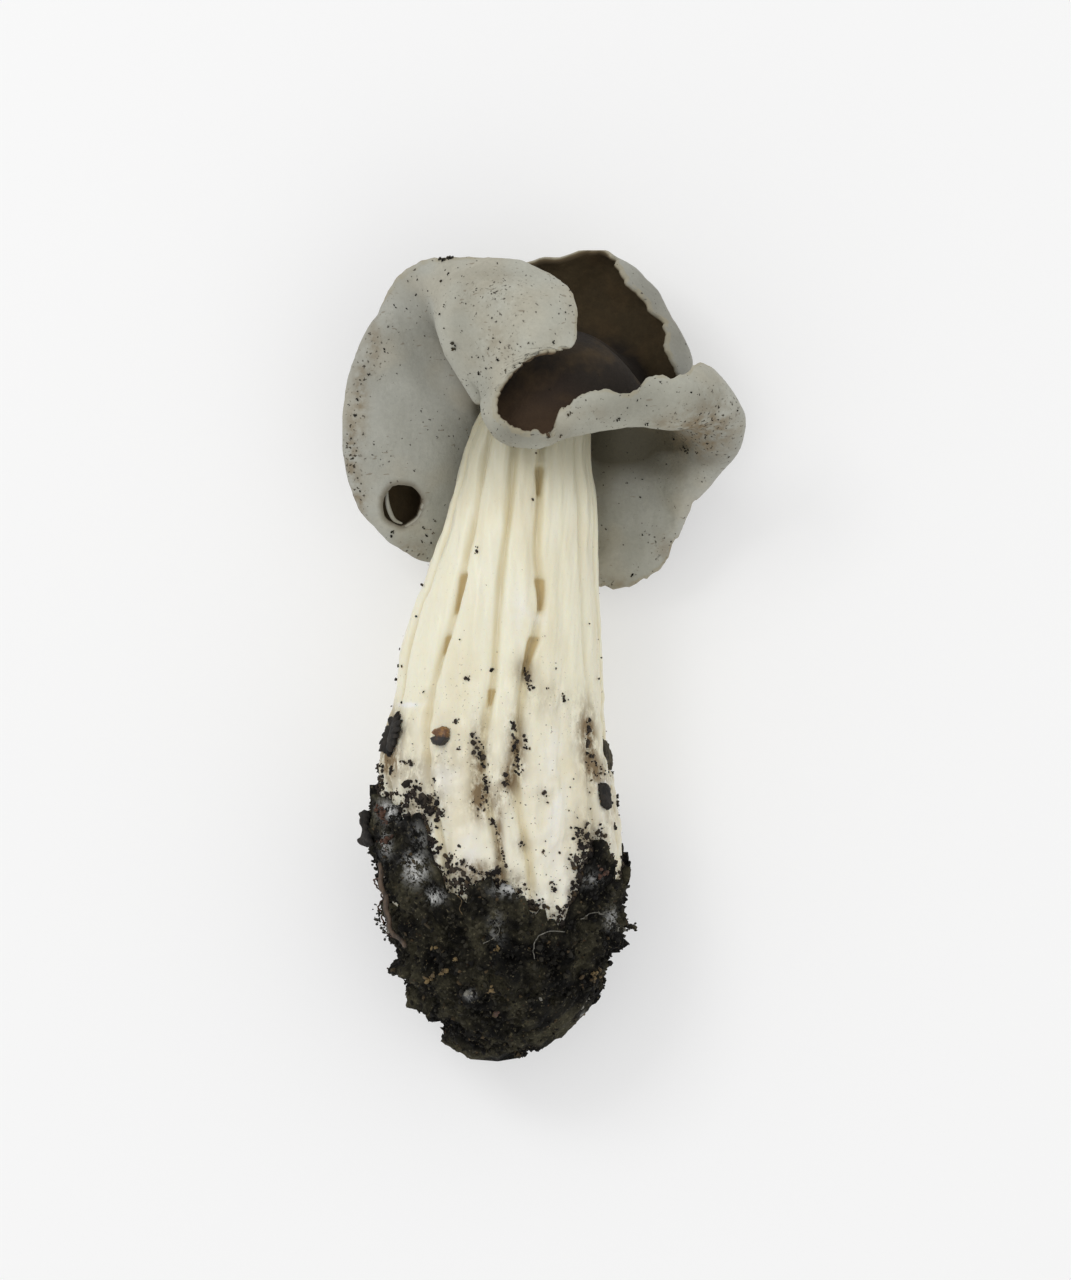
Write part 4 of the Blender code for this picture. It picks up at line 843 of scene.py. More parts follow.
def hole_walls(taken, outer, inner):
    """Quads that join the two sides of the sheet round the quads taken away."""
    walls = []
    beside = np.roll(taken, -1, axis=1)
    borders = (
        (taken & ~beside, True, False), (~taken & beside, True, True),
        (taken[:-1] & ~taken[1:], False, True), (~taken[:-1] & taken[1:], False, False),
    )
    for border, along_row, flip in borders:
        row, column = np.nonzero(border)
        after = (column + 1) % taken.shape[1]
        first = (row, after) if along_row else (row + 1, column)
        second = (row + 1, after)
        quad = np.stack([outer[first], outer[second], inner[second], inner[first]], axis=1)
        walls.append(quad[:, ::-1] if flip else quad)
    return np.concatenate(walls)


def build_cap(finish):
    """The cap: the sheet's two sides, half a thickness off its middle, and a half-round rim, less the hole.

    The numbers at its points: side is 1 outside and 0 on the spore-bearing side, edge is the distance from
    the margin in millimetres, share runs from the stem (0) to the margin (1), hole is the distance from the
    eaten hole, stain is the sum of the brown blots, and the last is painted shade: folds, undersides, recess
    and valley.
    """
    shares, middle, normals, edge = cap_sheet()
    taken = open_hole(middle)
    half = (CAP_THICK_CENTRE + (CAP_RIM_THICK - CAP_THICK_CENTRE) * shares[:, None, None]) / 2
    outward = middle[-1] - middle[-2]
    outward -= normals[-1] * (outward * normals[-1]).sum(axis=1, keepdims=True)
    outward /= np.linalg.norm(outward, axis=1, keepdims=True)
    turns = np.radians(CAP_RIM_TURNS)[:, None, None]
    rim = middle[-1] + (normals[-1] * np.cos(turns) + outward * np.sin(turns)) * half[-1]
    rings = np.concatenate([middle + normals * half, rim, (middle - normals * half)[::-1]])
    rings[..., 2] = np.maximum(rings[..., 2], 0.0)
    axis = np.array(CAP_POLE_AXIS) / np.linalg.norm(CAP_POLE_AXIS)
    poles = CAP_POLE - axis * CAP_THICK_CENTRE / 2, CAP_POLE + axis * CAP_THICK_CENTRE / 2
    points, groups = closed_skin(rings, *poles)
    rows, columns = middle.shape[:2]
    index = np.arange(2, 2 + len(rings) * columns).reshape(-1, columns)
    keep = np.ones((len(rings) - 1, columns), bool)
    keep[:rows - 1] = ~taken
    keep[-(rows - 1):] = ~taken[::-1]
    quads = groups[1].reshape(len(rings) - 1, columns, 4)[keep]
    walls = hole_walls(taken, index[:rows], index[-rows:][::-1])
    used = np.concatenate([group.ravel() for group in (groups[0], quads, walls, groups[2])])
    renumber = np.full(len(points), -1)
    kept = np.unique(used)
    renumber[kept] = np.arange(len(kept))

    def at_points(outer, on_rim, inner, first, last):
        return np.concatenate([[first, last], outer.ravel(), on_rim.ravel(), inner[::-1].ravel()])[kept]

    flat = np.broadcast_to(shares[:, None], (rows, columns))
    rim_rows = (len(CAP_RIM_TURNS), columns)
    rim_side = np.broadcast_to((1 + np.cos(turns[:, :, 0])) / 2, rim_rows)
    ones = np.ones((rows, columns))
    # Painted shade: folds and undersides above RECESS_TOP, the band's shadow below it, and the valley beside
    # the flap.
    dusk = blots(points, CAP_PAINTED_SHADE, RECESS_TOP) + blots(points, RECESS_PAINTED_SHADE, 0.0, RECESS_TOP)
    dusk = dusk + valley_dusk(points)
    return new_piece(
        "folded_cap", points[kept], [renumber[group] for group in (groups[0], quads, walls, groups[2])],
        finish, "cap_flesh", ("cap",),
        side=at_points(ones, rim_side, 0 * ones, 1, 0),
        edge=at_points(edge, np.zeros(rim_rows), edge, FAR, FAR),
        share=at_points(flat, np.ones(rim_rows), flat, 0, 0),
        hole=hole_distance(points)[kept],
        stain=blots(points, CAP_STAINS, 0.0)[kept],
        dusk=dusk[kept],
    )


def valley_dusk(points):
    """How dark the valley's painted shade is: most at the foot of the flap's fold, fading away from it over
    the left wing.
    """
    fold = smooth_path(FOLD, FOLD_STEPS)
    away = np.hypot(points[:, None, 0] - fold[:, 0], points[:, None, 1] - fold[:, 1]).min(axis=1)
    depth = np.clip((VALLEY_TOP - points[:, 2]) / (VALLEY_TOP - VALLEY_FLOOR), 0, 1)
    left = points[:, 0] < np.interp(points[:, 1], fold[::-1, 1], fold[::-1, 0]) + 1.0
    return VALLEY_DARK * np.exp(-away / VALLEY_FADE) * depth * left


def build_curl(finish):
    """The curl in the hole: a thin tube that tapers to both ends, with the skin's own felt and a little
    painted shade.
    """
    widest, least, start, end = CURL_WIDTH
    width = widest * np.sin(np.linspace(start, math.pi - end, CURL_STEPS)) + least
    points, groups = tube(smooth_path(CURL, CURL_STEPS), width, CURL_SIDES)
    ones = np.ones(len(points))
    new_piece(
        "hole_curl", points, groups, finish, "cap_flesh",
        # The curl lies down in the hole, so it gets a little painted shade.
        side=ones, edge=9 * ones, share=0.8 * ones, hole=9 * ones, stain=0 * ones, dusk=0.3 * ones,
    )


def slit_well(away, y, top, foot, half_width, depth):
    """A slit's depth: a steep-sided well that narrows towards its foot."""
    share = np.clip((y - foot) / (top - foot), 0.0, 1.0)
    narrow = half_width * (0.6 + 0.9 * share)
    return depth / (1 + (away / narrow) ** 6) * window(y, top, foot, SLIT_SOFT * 0.6)


def fine_stem(turn, y, grow=0.0):
    """The finely ribbed skin and what lies on it: its points, and how deep in a groove and in a slit each is.

    It is the oval of STEM_ROWS drawn in by the ribs' rounding, a bell-shaped groove at every groove's angle
    and a narrowing well at each slit, with fine lengthwise waves that swell into lumps towards the foot.
    """
    ahead, behind, across, away = rib_place(y, turn)
    depths = np.array([depth for depth, _, _ in GROOVES])
    crown = depths[behind.argmin(axis=-1)] * (1 - across) + depths[ahead.argmin(axis=-1)] * across
    inward = RIB_CROWN * crown * np.abs(2 * across - 1) ** RIB_CROWN_POWER
    groove = np.zeros(turn.shape)
    for number, (depth, width, _) in enumerate(GROOVES):
        bell = np.exp(-((away[..., number] / width) ** 2))
        inward += GROOVE_SHALLOW * depth * bell
        groove += bell * depth
    slit = np.zeros(turn.shape)
    for number, top, foot, half_width, extra in SLITS:
        well = slit_well(away[..., number], y, top, foot, half_width, extra)
        inward += well * SLIT_SHALLOW
        slit += well / extra
    inward *= rib_fade(y)
    point = oval_point(STEM_ROWS, y, turn, grow - inward)
    start, end, swelling = STEM_SWELLING
    lower = np.clip((start - y) / (start - end), 0.0, 1.0)
    waves = layered(point * (1.0, STEM_DRAWN, 1.0), STEM_RELIEF)
    waves += swelling * lower * lumps(point, *STEM_FOOT_RELIEF)
    out = np.stack([np.sin(turn), np.zeros(turn.shape), np.cos(turn)], axis=-1)
    return point + out * (waves * (1 - np.clip(slit, 0, 1)))[..., None], groove, slit


def build_stem(finish):
    """The stem on a net whose columns follow the grooves and crowd in them, closed at both ends."""
    low, high = STEM_ROWS[0][0], STEM_ROWS[-1][0]
    levels = np.linspace(low, high, round((high - low) / STEM_FINE_STEP) + 1)
    angles = groove_angles(levels)
    width = np.mod(np.roll(angles, -1, axis=1) - angles, 2 * math.pi)
    even = np.arange(RIB_FINE_STEPS) / RIB_FINE_STEPS
    steps = even - RIB_CROWDING * np.sin(2 * math.pi * even) / (2 * math.pi)
    turn = (angles[:, :, None] + width[:, :, None] * steps).reshape(len(levels), -1)
    rings, groove, slit = fine_stem(turn, np.broadcast_to(levels[:, None], turn.shape))
    points, groups = closed_skin(rings, STEM_BASE, STEM_TOP)
    pad = np.zeros(2)
    return new_piece(
        "ribbed_stem", points, groups, finish, "stem_flesh", ("stem",),
        groove=np.concatenate([pad, groove.ravel()]), slit=np.concatenate([pad, slit.ravel()]),
        dirt=blots(points, STEM_DIRT, 13.0), white=blots(points, STEM_WHITES_AND_GLINTS, 13.0),
        near_soil=np.concatenate([pad, (rings[..., 1] - soil_edge(turn)).ravel()]),
    )


def fine_soil(turn, y, grow=0.0):
    """The clod's skin with two more sizes of crumb pushed out of it; they fade at the upper edge."""
    point = soil_skin(turn, y, grow)
    below = np.clip((soil_edge(turn) - y) / SOIL_RIM_LENGTH * 2, 0.15, 1.0)
    point = point + off_clod(point) * (layered(point, SOIL_RELIEF) * below)[..., None]
    point[..., 1] = np.maximum(point[..., 1], foot_limit(point))
    return point


def foot_limit(point):
    """The lowest Y that soil reaches: a shallow bowl round the foot, so that the clod ends rounded."""
    away = (point[..., 0] - SOIL_TIP[0]) ** 2 + (point[..., 2] - SOIL_TIP[2]) ** 2
    return SOIL_TIP[1] + 0.15 + SOIL_BOWL * away + 0.35 * lumps(point * (1, 0, 1), 2.4, 43)


def build_soil(finish):
    """The clod: its crumbly skin and the socket that the stem's base stands in, joined by a rim.

    The upper edge wanders up and down in small tongues.
    """
    turn = full_turn(SOIL_FINE_COLUMNS)
    edge = soil_edge(turn)
    foot = SOIL_ROWS[0][0]
    tongues = beating(turn, SOIL_TONGUES)
    share = np.linspace(0.0, 1.0, SOIL_FINE_ROWS)[:, None]
    y = edge + tongues * (1 - share) ** 3 + (foot - edge) * share
    outer = fine_soil(np.broadcast_to(turn, y.shape), y)
    outer[..., 2] = np.maximum(outer[..., 2], 0.0)
    share = np.linspace(0.0, 1.0, SOCKET_ROWS)[:, None]
    y = edge + tongues * (1 - share) ** 3 + (STEM_ROWS[0][0] - GAP - edge) * share
    inner = oval_point(STEM_ROWS, np.maximum(y, STEM_ROWS[0][0]), np.broadcast_to(turn, y.shape), -0.1)
    inner[..., 1] = y
    socket_foot = (STEM_BASE[0], STEM_BASE[1] - GAP, STEM_BASE[2])
    points, groups = closed_skin(np.concatenate([inner[::-1], outer]), socket_foot, SOIL_TIP)
    threads = blots(points, SOIL_MYCELIUM, 10.0)
    return new_piece("soil_clod", points, groups, finish, "soil", ("soil",), mycelium=threads)


# A crumb is an icosahedron: how far its corners move in and out, and how it is stretched along each axis.
CRUMB_DENTS, CRUMB_STRETCH = (0.6, 1.25), (0.4, 1.15)
ICOSA_LONG = (1 + math.sqrt(5)) / 2
ICOSA_POINTS = np.array([
    (-1, ICOSA_LONG, 0), (1, ICOSA_LONG, 0), (-1, -ICOSA_LONG, 0), (1, -ICOSA_LONG, 0),
    (0, -1, ICOSA_LONG), (0, 1, ICOSA_LONG), (0, -1, -ICOSA_LONG), (0, 1, -ICOSA_LONG),
    (ICOSA_LONG, 0, -1), (ICOSA_LONG, 0, 1), (-ICOSA_LONG, 0, -1), (-ICOSA_LONG, 0, 1),
]) / math.hypot(1, ICOSA_LONG)
ICOSA_FACES = np.array([
    (0, 11, 5), (0, 5, 1), (0, 1, 7), (0, 7, 10), (0, 10, 11), (1, 5, 9), (5, 11, 4),
    (11, 10, 2), (10, 7, 6), (7, 1, 8), (3, 9, 4), (3, 4, 2), (3, 2, 6), (3, 6, 8),
    (3, 8, 9), (4, 9, 5), (2, 4, 11), (6, 2, 10), (8, 6, 7), (9, 8, 1),
])


def crumb_heap(name, places, sizes, seed, finish):
    """Many small crumbs as one mesh: icosahedra with uneven corners, stretched and turned at random."""
    random = np.random.default_rng(seed)
    count = len(places)
    quaternions = random.normal(size=(count, 4))
    w, x, y, z = (quaternions / np.linalg.norm(quaternions, axis=1, keepdims=True)).T
    turned = np.array([
        [1 - 2 * (y * y + z * z), 2 * (x * y - z * w), 2 * (x * z + y * w)],
        [2 * (x * y + z * w), 1 - 2 * (x * x + z * z), 2 * (y * z - x * w)],
        [2 * (x * z - y * w), 2 * (y * z + x * w), 1 - 2 * (x * x + y * y)],
    ]).transpose(2, 0, 1)
    corners = ICOSA_POINTS * random.uniform(*CRUMB_DENTS, (count, 12, 1))
    corners = corners * random.uniform(*CRUMB_STRETCH, (count, 1, 3))
    points = places[:, None] + np.einsum("nij,nkj->nki", turned, corners) * sizes[:, None, None]
    points[..., 2] = np.maximum(points[..., 2], 0.0)
    faces = (ICOSA_FACES[None] + 12 * np.arange(count)[:, None, None]).reshape(-1, 3)
    tint = np.repeat(random.uniform(0, 1, count), 12)
    return new_piece(name, points.reshape(-1, 3), [faces], finish, "soil", smooth=False, tint=tint)


def sizes_between(random, low, high, count):
    """Many small sizes and few large ones."""
    return low + (high - low) * random.uniform(0, 1, count) ** SMALL_SHARE_POWER


def on_stem(x, y, lift):
    """Points of the stem's visible side under places seen from above."""
    centre_x, _, half_x, _ = smooth_rows(STEM_ROWS, y).T
    turn = np.arcsin(np.clip((x - centre_x) / half_x, -1, 1))
    return fine_stem(turn, y, lift)[0]


def on_soil(x, y, lift):
    """Points of the clod's upper side under places seen from above."""
    centre_x, _, half_x, _ = smooth_rows(SOIL_ROWS, y).T
    turn = np.arcsin(np.clip((x - centre_x) / (half_x + 0.3), -1, 1))
    return fine_soil(turn, y, lift)


def edge_clumps(random):
    """Places and sizes of crumbs in clumps along the clod's upper edge, most of them just outside it."""
    turn = np.linspace(-math.pi, math.pi, EDGE_SAMPLES)
    edge = soil_edge(turn)
    radius = smooth_rows(STEM_ROWS, edge)[:, 2]
    across = np.gradient(turn) * radius
    run = np.cumsum(np.hypot(across, np.gradient(edge)))
    spot = random.uniform(0, run[-1], EDGE_CLUMPS)
    normal = np.stack([-np.gradient(edge), across]) / np.hypot(across, np.gradient(edge))
    away = random.exponential(EDGE_REACH, EDGE_CLUMPS) - 0.4
    side, up = (np.interp(spot, run, n) * away for n in normal)
    middle_turn = np.interp(spot, run, turn) + side / np.interp(spot, run, radius)
    middle_y = np.interp(spot, run, edge) + up
    places, sizes = [], []
    for angle, y in zip(middle_turn, middle_y):
        count = random.integers(*EDGE_CLUMP_COUNT)
        spread = random.uniform(*EDGE_CLUMP_SPREAD)
        off = random.normal(size=(2, count)) * spread
        size = sizes_between(random, CRUMB_LEAST, 0.22 + 0.5 * spread, count)
        places.append(fine_stem(angle + off[0] / STEM_FOOT_RADIUS, y + off[1], 0.25 * size)[0])
        sizes.append(size)
    return np.concatenate(places), np.concatenate(sizes)


def build_stem_crumbs(finish):
    """Crumbs strewn along the trails on the stem, and strays that thicken towards the clod."""
    random = np.random.default_rng(51)
    places, sizes = [], []
    for start, end, half_width, count, largest in STEM_TRAILS:
        along = random.uniform(0, 1, (count, 1))
        spot = np.array(start) + (np.array(end) - start) * along
        spot = spot + random.normal(size=(count, 2)) * half_width * 0.6
        size = sizes_between(random, CRUMB_LEAST, largest * 1.25, count)
        places.append(on_stem(spot[:, 0], spot[:, 1], 0.2 * size))
        sizes.append(size)
    turn = random.uniform(0, 2 * math.pi, STEM_STRAYS)
    y = STRAY_TOP - STRAY_REACH * random.beta(*STRAY_DRAW, STEM_STRAYS)
    size = sizes_between(random, *STRAY_SIZES, STEM_STRAYS)
    above = y > soil_edge(turn) + 0.3
    places.append(fine_stem(turn[above], y[above], 0.2)[0])
    sizes.append(size[above])
    clumps, size = edge_clumps(random)
    places.append(clumps)
    sizes.append(size)
    crumb_heap("stem_crumbs", np.concatenate(places), np.concatenate(sizes), 52, finish)


def build_clod_crumbs(finish):
    """Crumbs half sunk all over the clod, and heaps of them that stand out from its sides."""
    random = np.random.default_rng(61)
    turn = random.uniform(0, 2 * math.pi, CLOD_CRUMBS)
    share = random.uniform(0, 1, CLOD_CRUMBS) ** CLOD_CROWDING
    edge = soil_edge(turn)
    y = edge - 0.3 + (SOIL_ROWS[0][0] - 0.2 - edge) * share
    size = sizes_between(random, *CLOD_CRUMB_SIZES, CLOD_CRUMBS)
    places = fine_soil(turn, np.maximum(y, SOIL_ROWS[0][0]), 0.05)
    places, sizes = [places], [size]
    for (count, spread, size), path in SPURS:
        places.append(smooth_path(path, count) + random.normal(size=(count, 3)) * spread)
        sizes.append(sizes_between(random, 0.5 * size, 1.3 * size, count))
    places, sizes = np.concatenate(places), np.concatenate(sizes)
    places[:, 1] = np.maximum(places[:, 1], foot_limit(places) + sizes)
    crumb_heap("clod_crumbs", places, sizes, 62, finish)


def on_cap(points, x, y):
    """The cap's highest point under each place seen from above."""
    away = np.hypot(points[None, :, 0] - x[:, None], points[None, :, 1] - y[:, None])
    height = np.where(away < 0.5, points[None, :, 2], -1.0 - away)
    return points[height.argmax(axis=1)]


def build_cap_crumbs(cap, finish):
    """Soil specks on the cap: the ones listed, and strays that crowd on its upper folds."""
    random = np.random.default_rng(71)
    flat = np.empty(len(cap.data.vertices) * 3)
    cap.data.vertices.foreach_get("co", flat)
    points = flat.reshape(-1, 3) / MM + MIDDLE
    side = np.empty(len(points))
    cap.data.attributes["side"].data.foreach_get("value", side)
    outer = points[side > 0.9]
    x, y, size = np.array(CAP_BITS).T
    size = np.repeat(size, CRUMBS_PER_BIT)
    listed = np.repeat(on_cap(points, x, y), CRUMBS_PER_BIT, axis=0)
    listed = listed + random.normal(size=(len(size), 3)) * 0.5 * size[:, None]
    chosen = outer[random.integers(0, len(outer), CAP_STRAYS * 2)]
    weight = np.where(chosen[:, 2] > CAP_STRAY_TOP, 1.0, CAP_STRAY_LOW_SHARE)
    weight = weight * np.where(chosen[:, 0] < CAP_STRAY_LEFT, CAP_STRAY_LEFT_FACTOR, 1.0)
    chosen = chosen[random.uniform(0, 1, len(chosen)) < weight][:CAP_STRAYS]
    *middle, half_length, count = TOP_SLIVER
    sliver = np.array(middle)[None] + np.linspace(-1, 1, count)[:, None] * (half_length, 0.12)
    sliver = on_cap(points, sliver[:, 0], sliver[:, 1]) + random.normal(size=(count, 3)) * (0.3, 0.08, 0.1)
    places = np.concatenate([listed, chosen, sliver])
    strays = sizes_between(random, *CAP_STRAY_SIZES, len(chosen))
    sizes = np.concatenate([size * 0.62, strays, np.full(count, 0.2)])
    crumb_heap("cap_crumbs", places, sizes, 72, finish)


def build_flake(name, carrier, angle, y, half_width, half_length, thick, turn, finish, slot):
    """A thin plate with a jagged outline, bent to the skin that it lies on and roughened by fine lumps.

    The outline is a squared oval with a few waves and teeth; the husk's has an open mouth.
    """
    seed = sum(map(ord, name))
    around = full_turn(FLAKE_SIDES)
    square = FLAKE_SQUARE[name]
    wobble = (np.abs(np.cos(around)) ** square + np.abs(np.sin(around)) ** square) ** (-1 / square)
    wobble *= 1 + 0.04 * np.sin(3 * around + seed) + 0.03 * np.sin(7 * around + 2 * seed)
    teeth = 0.05 * np.sin(17 * around + seed) + 0.04 * np.sin(29 * around) * np.sin(7 * around)
    jag = 1 + FLAKE_TORN[name] * teeth
    if name == "seed_husk":
        direction, half_turn, depth = HUSK_MOUTH
        jag *= 1 - depth * np.exp(-(((around - direction) / half_turn) ** 2))
    tilt = math.radians(turn)
    radius = smooth_rows(STEM_ROWS, np.array([y]))[0, 2:].mean()

    def place(share, height):
        across = half_width * share * wobble * jag * np.cos(around)
        along = half_length * share * wobble * jag * np.sin(around)
        phi = math.radians(angle) + (across * math.cos(tilt) - along * math.sin(tilt)) / radius
        up = y + across * math.sin(tilt) + along * math.cos(tilt)
        skin = soil_skin(phi, up, height) if carrier == "soil" else stem_skin(phi, up, height)
        return skin + lumps(skin, 0.9, seed)[:, None] * 0.08 * share * (1, 0, 1)

    lift = FLAKE_LIFT[carrier]
    low = [place(share, lift + 0.1) for share in np.linspace(0.08, 1.0, FLAKE_RINGS)]
    crowned = np.linspace(0.98, 0.08, FLAKE_RINGS)
    high = [place(share, lift + thick * (0.55 + 0.45 * (1 - share**6))) for share in crowned]
    points, groups = closed_skin(np.array(low + high), place(0.0, lift + 0.1)[0], place(0.0, lift + thick)[0])
    return new_piece(name + "_fine", points, groups, finish, slot, (name,))


def tube(path, radius, sides):
    """Rings round a path, closed to points just beyond its ends: points and faces."""
    forward = np.gradient(path, axis=0)
    forward /= np.linalg.norm(forward, axis=1, keepdims=True)
    side = np.cross(forward, (0.05, 0.0, 1.0))
    side /= np.linalg.norm(side, axis=1, keepdims=True)
    up = np.cross(side, forward)
    around = full_turn(sides)
    ring = side[:, None] * np.cos(around)[:, None] + up[:, None] * np.sin(around)[:, None]
    radius = np.broadcast_to(radius, len(path))
    rings = path[:, None] + radius[:, None, None] * ring
    first, last = forward[0] * radius[0] * 0.8, forward[-1] * radius[-1] * 0.8
    return closed_skin(rings, path[0] - first, path[-1] + last)


def build_rootlet(finish):
    """The root: a tapering tube over the clod, knotted by fine lumps."""
    angle, y, radius = smooth_path(ROOTLET, ROOTLET_KNOTS).T
    turn = np.radians(angle)
    beside = [soil_skin(turn + side, y, GAP) for side in (-ROOTLET_REACH, 0.0, ROOTLET_REACH)]
    base = oval_point(SOIL_ROWS, y, turn)
    out = base - np.array(SOIL_MIDDLE)
    out[:, 1] = 0.0
    out /= np.linalg.norm(out, axis=1, keepdims=True)
    rise = np.max([((skin - base) * out).sum(axis=1) for skin in beside], axis=0)
    rise = np.maximum(np.maximum(rise, np.roll(rise, 1)), np.roll(rise, -1))
    rise = np.convolve(np.pad(rise, 2, mode="edge"), np.ones(5) / 5, mode="valid")
    coarse = base + out * (rise + radius + ROOTLET_LIFT)[:, None]
    fine = np.linspace(0, len(coarse) - 1, ROOTLET_STEPS)
    path = spline(coarse, fine)
    path += 0.12 * np.stack([np.sin(fine * 1.7), 0 * fine, np.cos(fine * 2.3)], axis=1)
    points, groups = tube(path, ROOTLET_SLIM * np.interp(fine, np.arange(len(radius)), radius), ROOTLET_SIDES)
    centre = np.array([path[np.abs(path[:, 1] - y).argmin()] for y in (points[0, 1], points[1, 1])])
    nearest = np.concatenate([centre, np.repeat(path, ROOTLET_SIDES, axis=0)])
    knots = 1 + 0.14 * lumps(points * (1, 0.5, 1), 1.0, 81) + 0.08 * lumps(points, 0.5, 82)
    points = nearest + (points - nearest) * knots[:, None]
    return new_piece("rootlet_fine", points, groups, finish, "root", ("rootlet",))


def build_threads(finishes):
    """Fine threads and needles lying in the soil, each a thin tube over the clod's skin."""
    for number, (kind, radius, lift, spots) in enumerate(THREADS):
        x, y = smooth_path(spots, THREAD_STEPS).T
        points, groups = tube(on_soil(x, y, lift), radius, THREAD_SIDES)
        new_piece(f"thread_{number}", points, groups, finishes[kind], "root")


def build_soil_bits(finishes):
    """Small pale, ochre and rusty bits in the soil: clusters of crumbs, one mesh for each colour."""
    for kind in ("ochre", "pale", "rust"):
        places, sizes = [], []
        random = np.random.default_rng(len(kind))
        for wanted, x, y, half_x, half_y, turn in SOIL_BITS:
            if wanted != kind:
                continue
            count = max(BIT_LEAST_CRUMBS, round(half_x * half_y * BIT_CRUMBS_PER_AREA))
            away = random.normal(size=(count, 2)) * (half_x * 0.5, half_y * 0.5)
            c, s = math.cos(math.radians(turn)), math.sin(math.radians(turn))
            spot = np.array((x, y)) + away @ np.array([[c, s], [-s, c]])
            places.append(on_soil(spot[:, 0], spot[:, 1], BIT_LIFT))
            sizes.append(random.uniform(*BIT_SIZES, count))
        crumb_heap(f"{kind}_bits", np.concatenate(places), np.concatenate(sizes), 90, finishes[kind])


def node(tree, kind, inputs=(), **settings):
    """A shader node with its settings; an input is given as a value, or as a socket to link to it."""
    made = tree.nodes.new("ShaderNode" + kind)
    for setting, value in settings.items():
        setattr(made, setting, value)
    for key, value in dict(inputs).items():
        if isinstance(value, bpy.types.NodeSocket):
            tree.links.new(value, made.inputs[key])
        else:
            made.inputs[key].default_value = value
    return made


def maths(tree, operation, a, b=0.0, clamp=False):
    return node(tree, "Math", {0: a, 1: b}, operation=operation, use_clamp=clamp).outputs[0]


def times(tree, a, b):
    return maths(tree, "MULTIPLY", a, b)


def height_of(tree, place, axis):
    """One coordinate of a place: 0 across, 1 along the stem, 2 up."""
    return node(tree, "SeparateXYZ", {0: place}).outputs[axis]


def blend(tree, share, first, second, how="MIX"):
    """The first colour turned into the second by a share."""
    colours = [(*c, 1.0) if isinstance(c, tuple) else c for c in (first, second)]
    inputs = {0: share, 6: colours[0], 7: colours[1]}
    return node(tree, "Mix", inputs, data_type="RGBA", blend_type=how, clamp_factor=True).outputs[2]


def span(tree, value, low, high, to_low=0.0, to_high=1.0):
    """A value's place between low and high, clamped, as a value between two others."""
    inputs = {0: value, 1: low, 2: high, 3: to_low, 4: to_high}
    return node(tree, "MapRange", inputs, interpolation_type="SMOOTHSTEP").outputs[0]


def attribute(tree, name):
    return node(tree, "Attribute", attribute_name=name).outputs["Fac"]


def noise(tree, place, size, detail=3.0, roughness=0.6, stretch=(1.0, 1.0, 1.0)):
    """Fractal noise whose largest lumps are about size millimetres, stretched along the axes."""
    placed = node(tree, "Mapping", {"Vector": place, "Scale": stretch}).outputs[0]
    return raw_noise(tree, placed, 1.0 / (size * MM), detail, roughness)


def raw_noise(tree, place, scale, detail, roughness):
    """Fractal noise at a scale, which may be a value or a socket."""
    inputs = {"Vector": place, "Scale": scale, "Detail": detail, "Roughness": roughness}
    return node(tree, "TexNoise", inputs).outputs[0]


def patches(tree, place, size, detail, low, high, roughness=0.6, stretch=(1.0, 1.0, 1.0), most=1.0):
    """A mask of patches: noise of a size, spread between two thresholds."""
    return span(tree, noise(tree, place, size, detail, roughness, stretch), low, high, 0.0, most)


def coated(tree, colour, *coats):
    """A colour under coats, each given as its mask, its strength and its own colour."""
    for mask, strength, coat in coats:
        colour = blend(tree, times(tree, mask, strength), colour, coat)
    return colour


def new_group(name, inputs, outputs):
    """An empty shader node group with float, colour or vector sockets."""
    kinds = {"value": "NodeSocketFloat", "colour": "NodeSocketColor", "vector": "NodeSocketVector"}
    tree = bpy.data.node_groups.new(name, "ShaderNodeTree")
    for socket, kind, default in inputs:
        made = tree.interface.new_socket(socket, in_out="INPUT", socket_type=kinds[kind])
        if default is not None:
            made.default_value = default
    for socket, kind in outputs:
        tree.interface.new_socket(socket, in_out="OUTPUT", socket_type=kinds[kind])
    return tree, tree.nodes.new("NodeGroupInput"), tree.nodes.new("NodeGroupOutput")


def speckle_group():
    """Tiny dots: noise of one size passed through a high threshold, thinned by coarser noise."""
    tree, given, out = new_group(
        "speckle", [("Size", "value", 0.5), ("Amount", "value", 0.5), ("Stretch", "vector", (1.0, 1.0, 1.0))],
        [("Mask", "value")],
    )
    place = node(tree, "TexCoord").outputs["Object"]
    placed = node(tree, "Mapping", {"Vector": place, "Scale": given.outputs["Stretch"]}).outputs[0]
    scale = maths(tree, "DIVIDE", 1.0 / MM, given.outputs["Size"])
    fine = raw_noise(tree, placed, scale, 1.0, 0.4)
    coarse = noise(tree, place, 7.0, 1.0)
    limit = maths(tree, "SUBTRACT", 0.86, times(tree, given.outputs["Amount"], 0.22))
    limit = maths(tree, "SUBTRACT", limit, times(tree, maths(tree, "SUBTRACT", coarse, 0.5), 0.22))
    above = maths(tree, "MULTIPLY", maths(tree, "SUBTRACT", fine, limit), 22.0, True)
    tree.links.new(above, out.inputs["Mask"])
    return tree


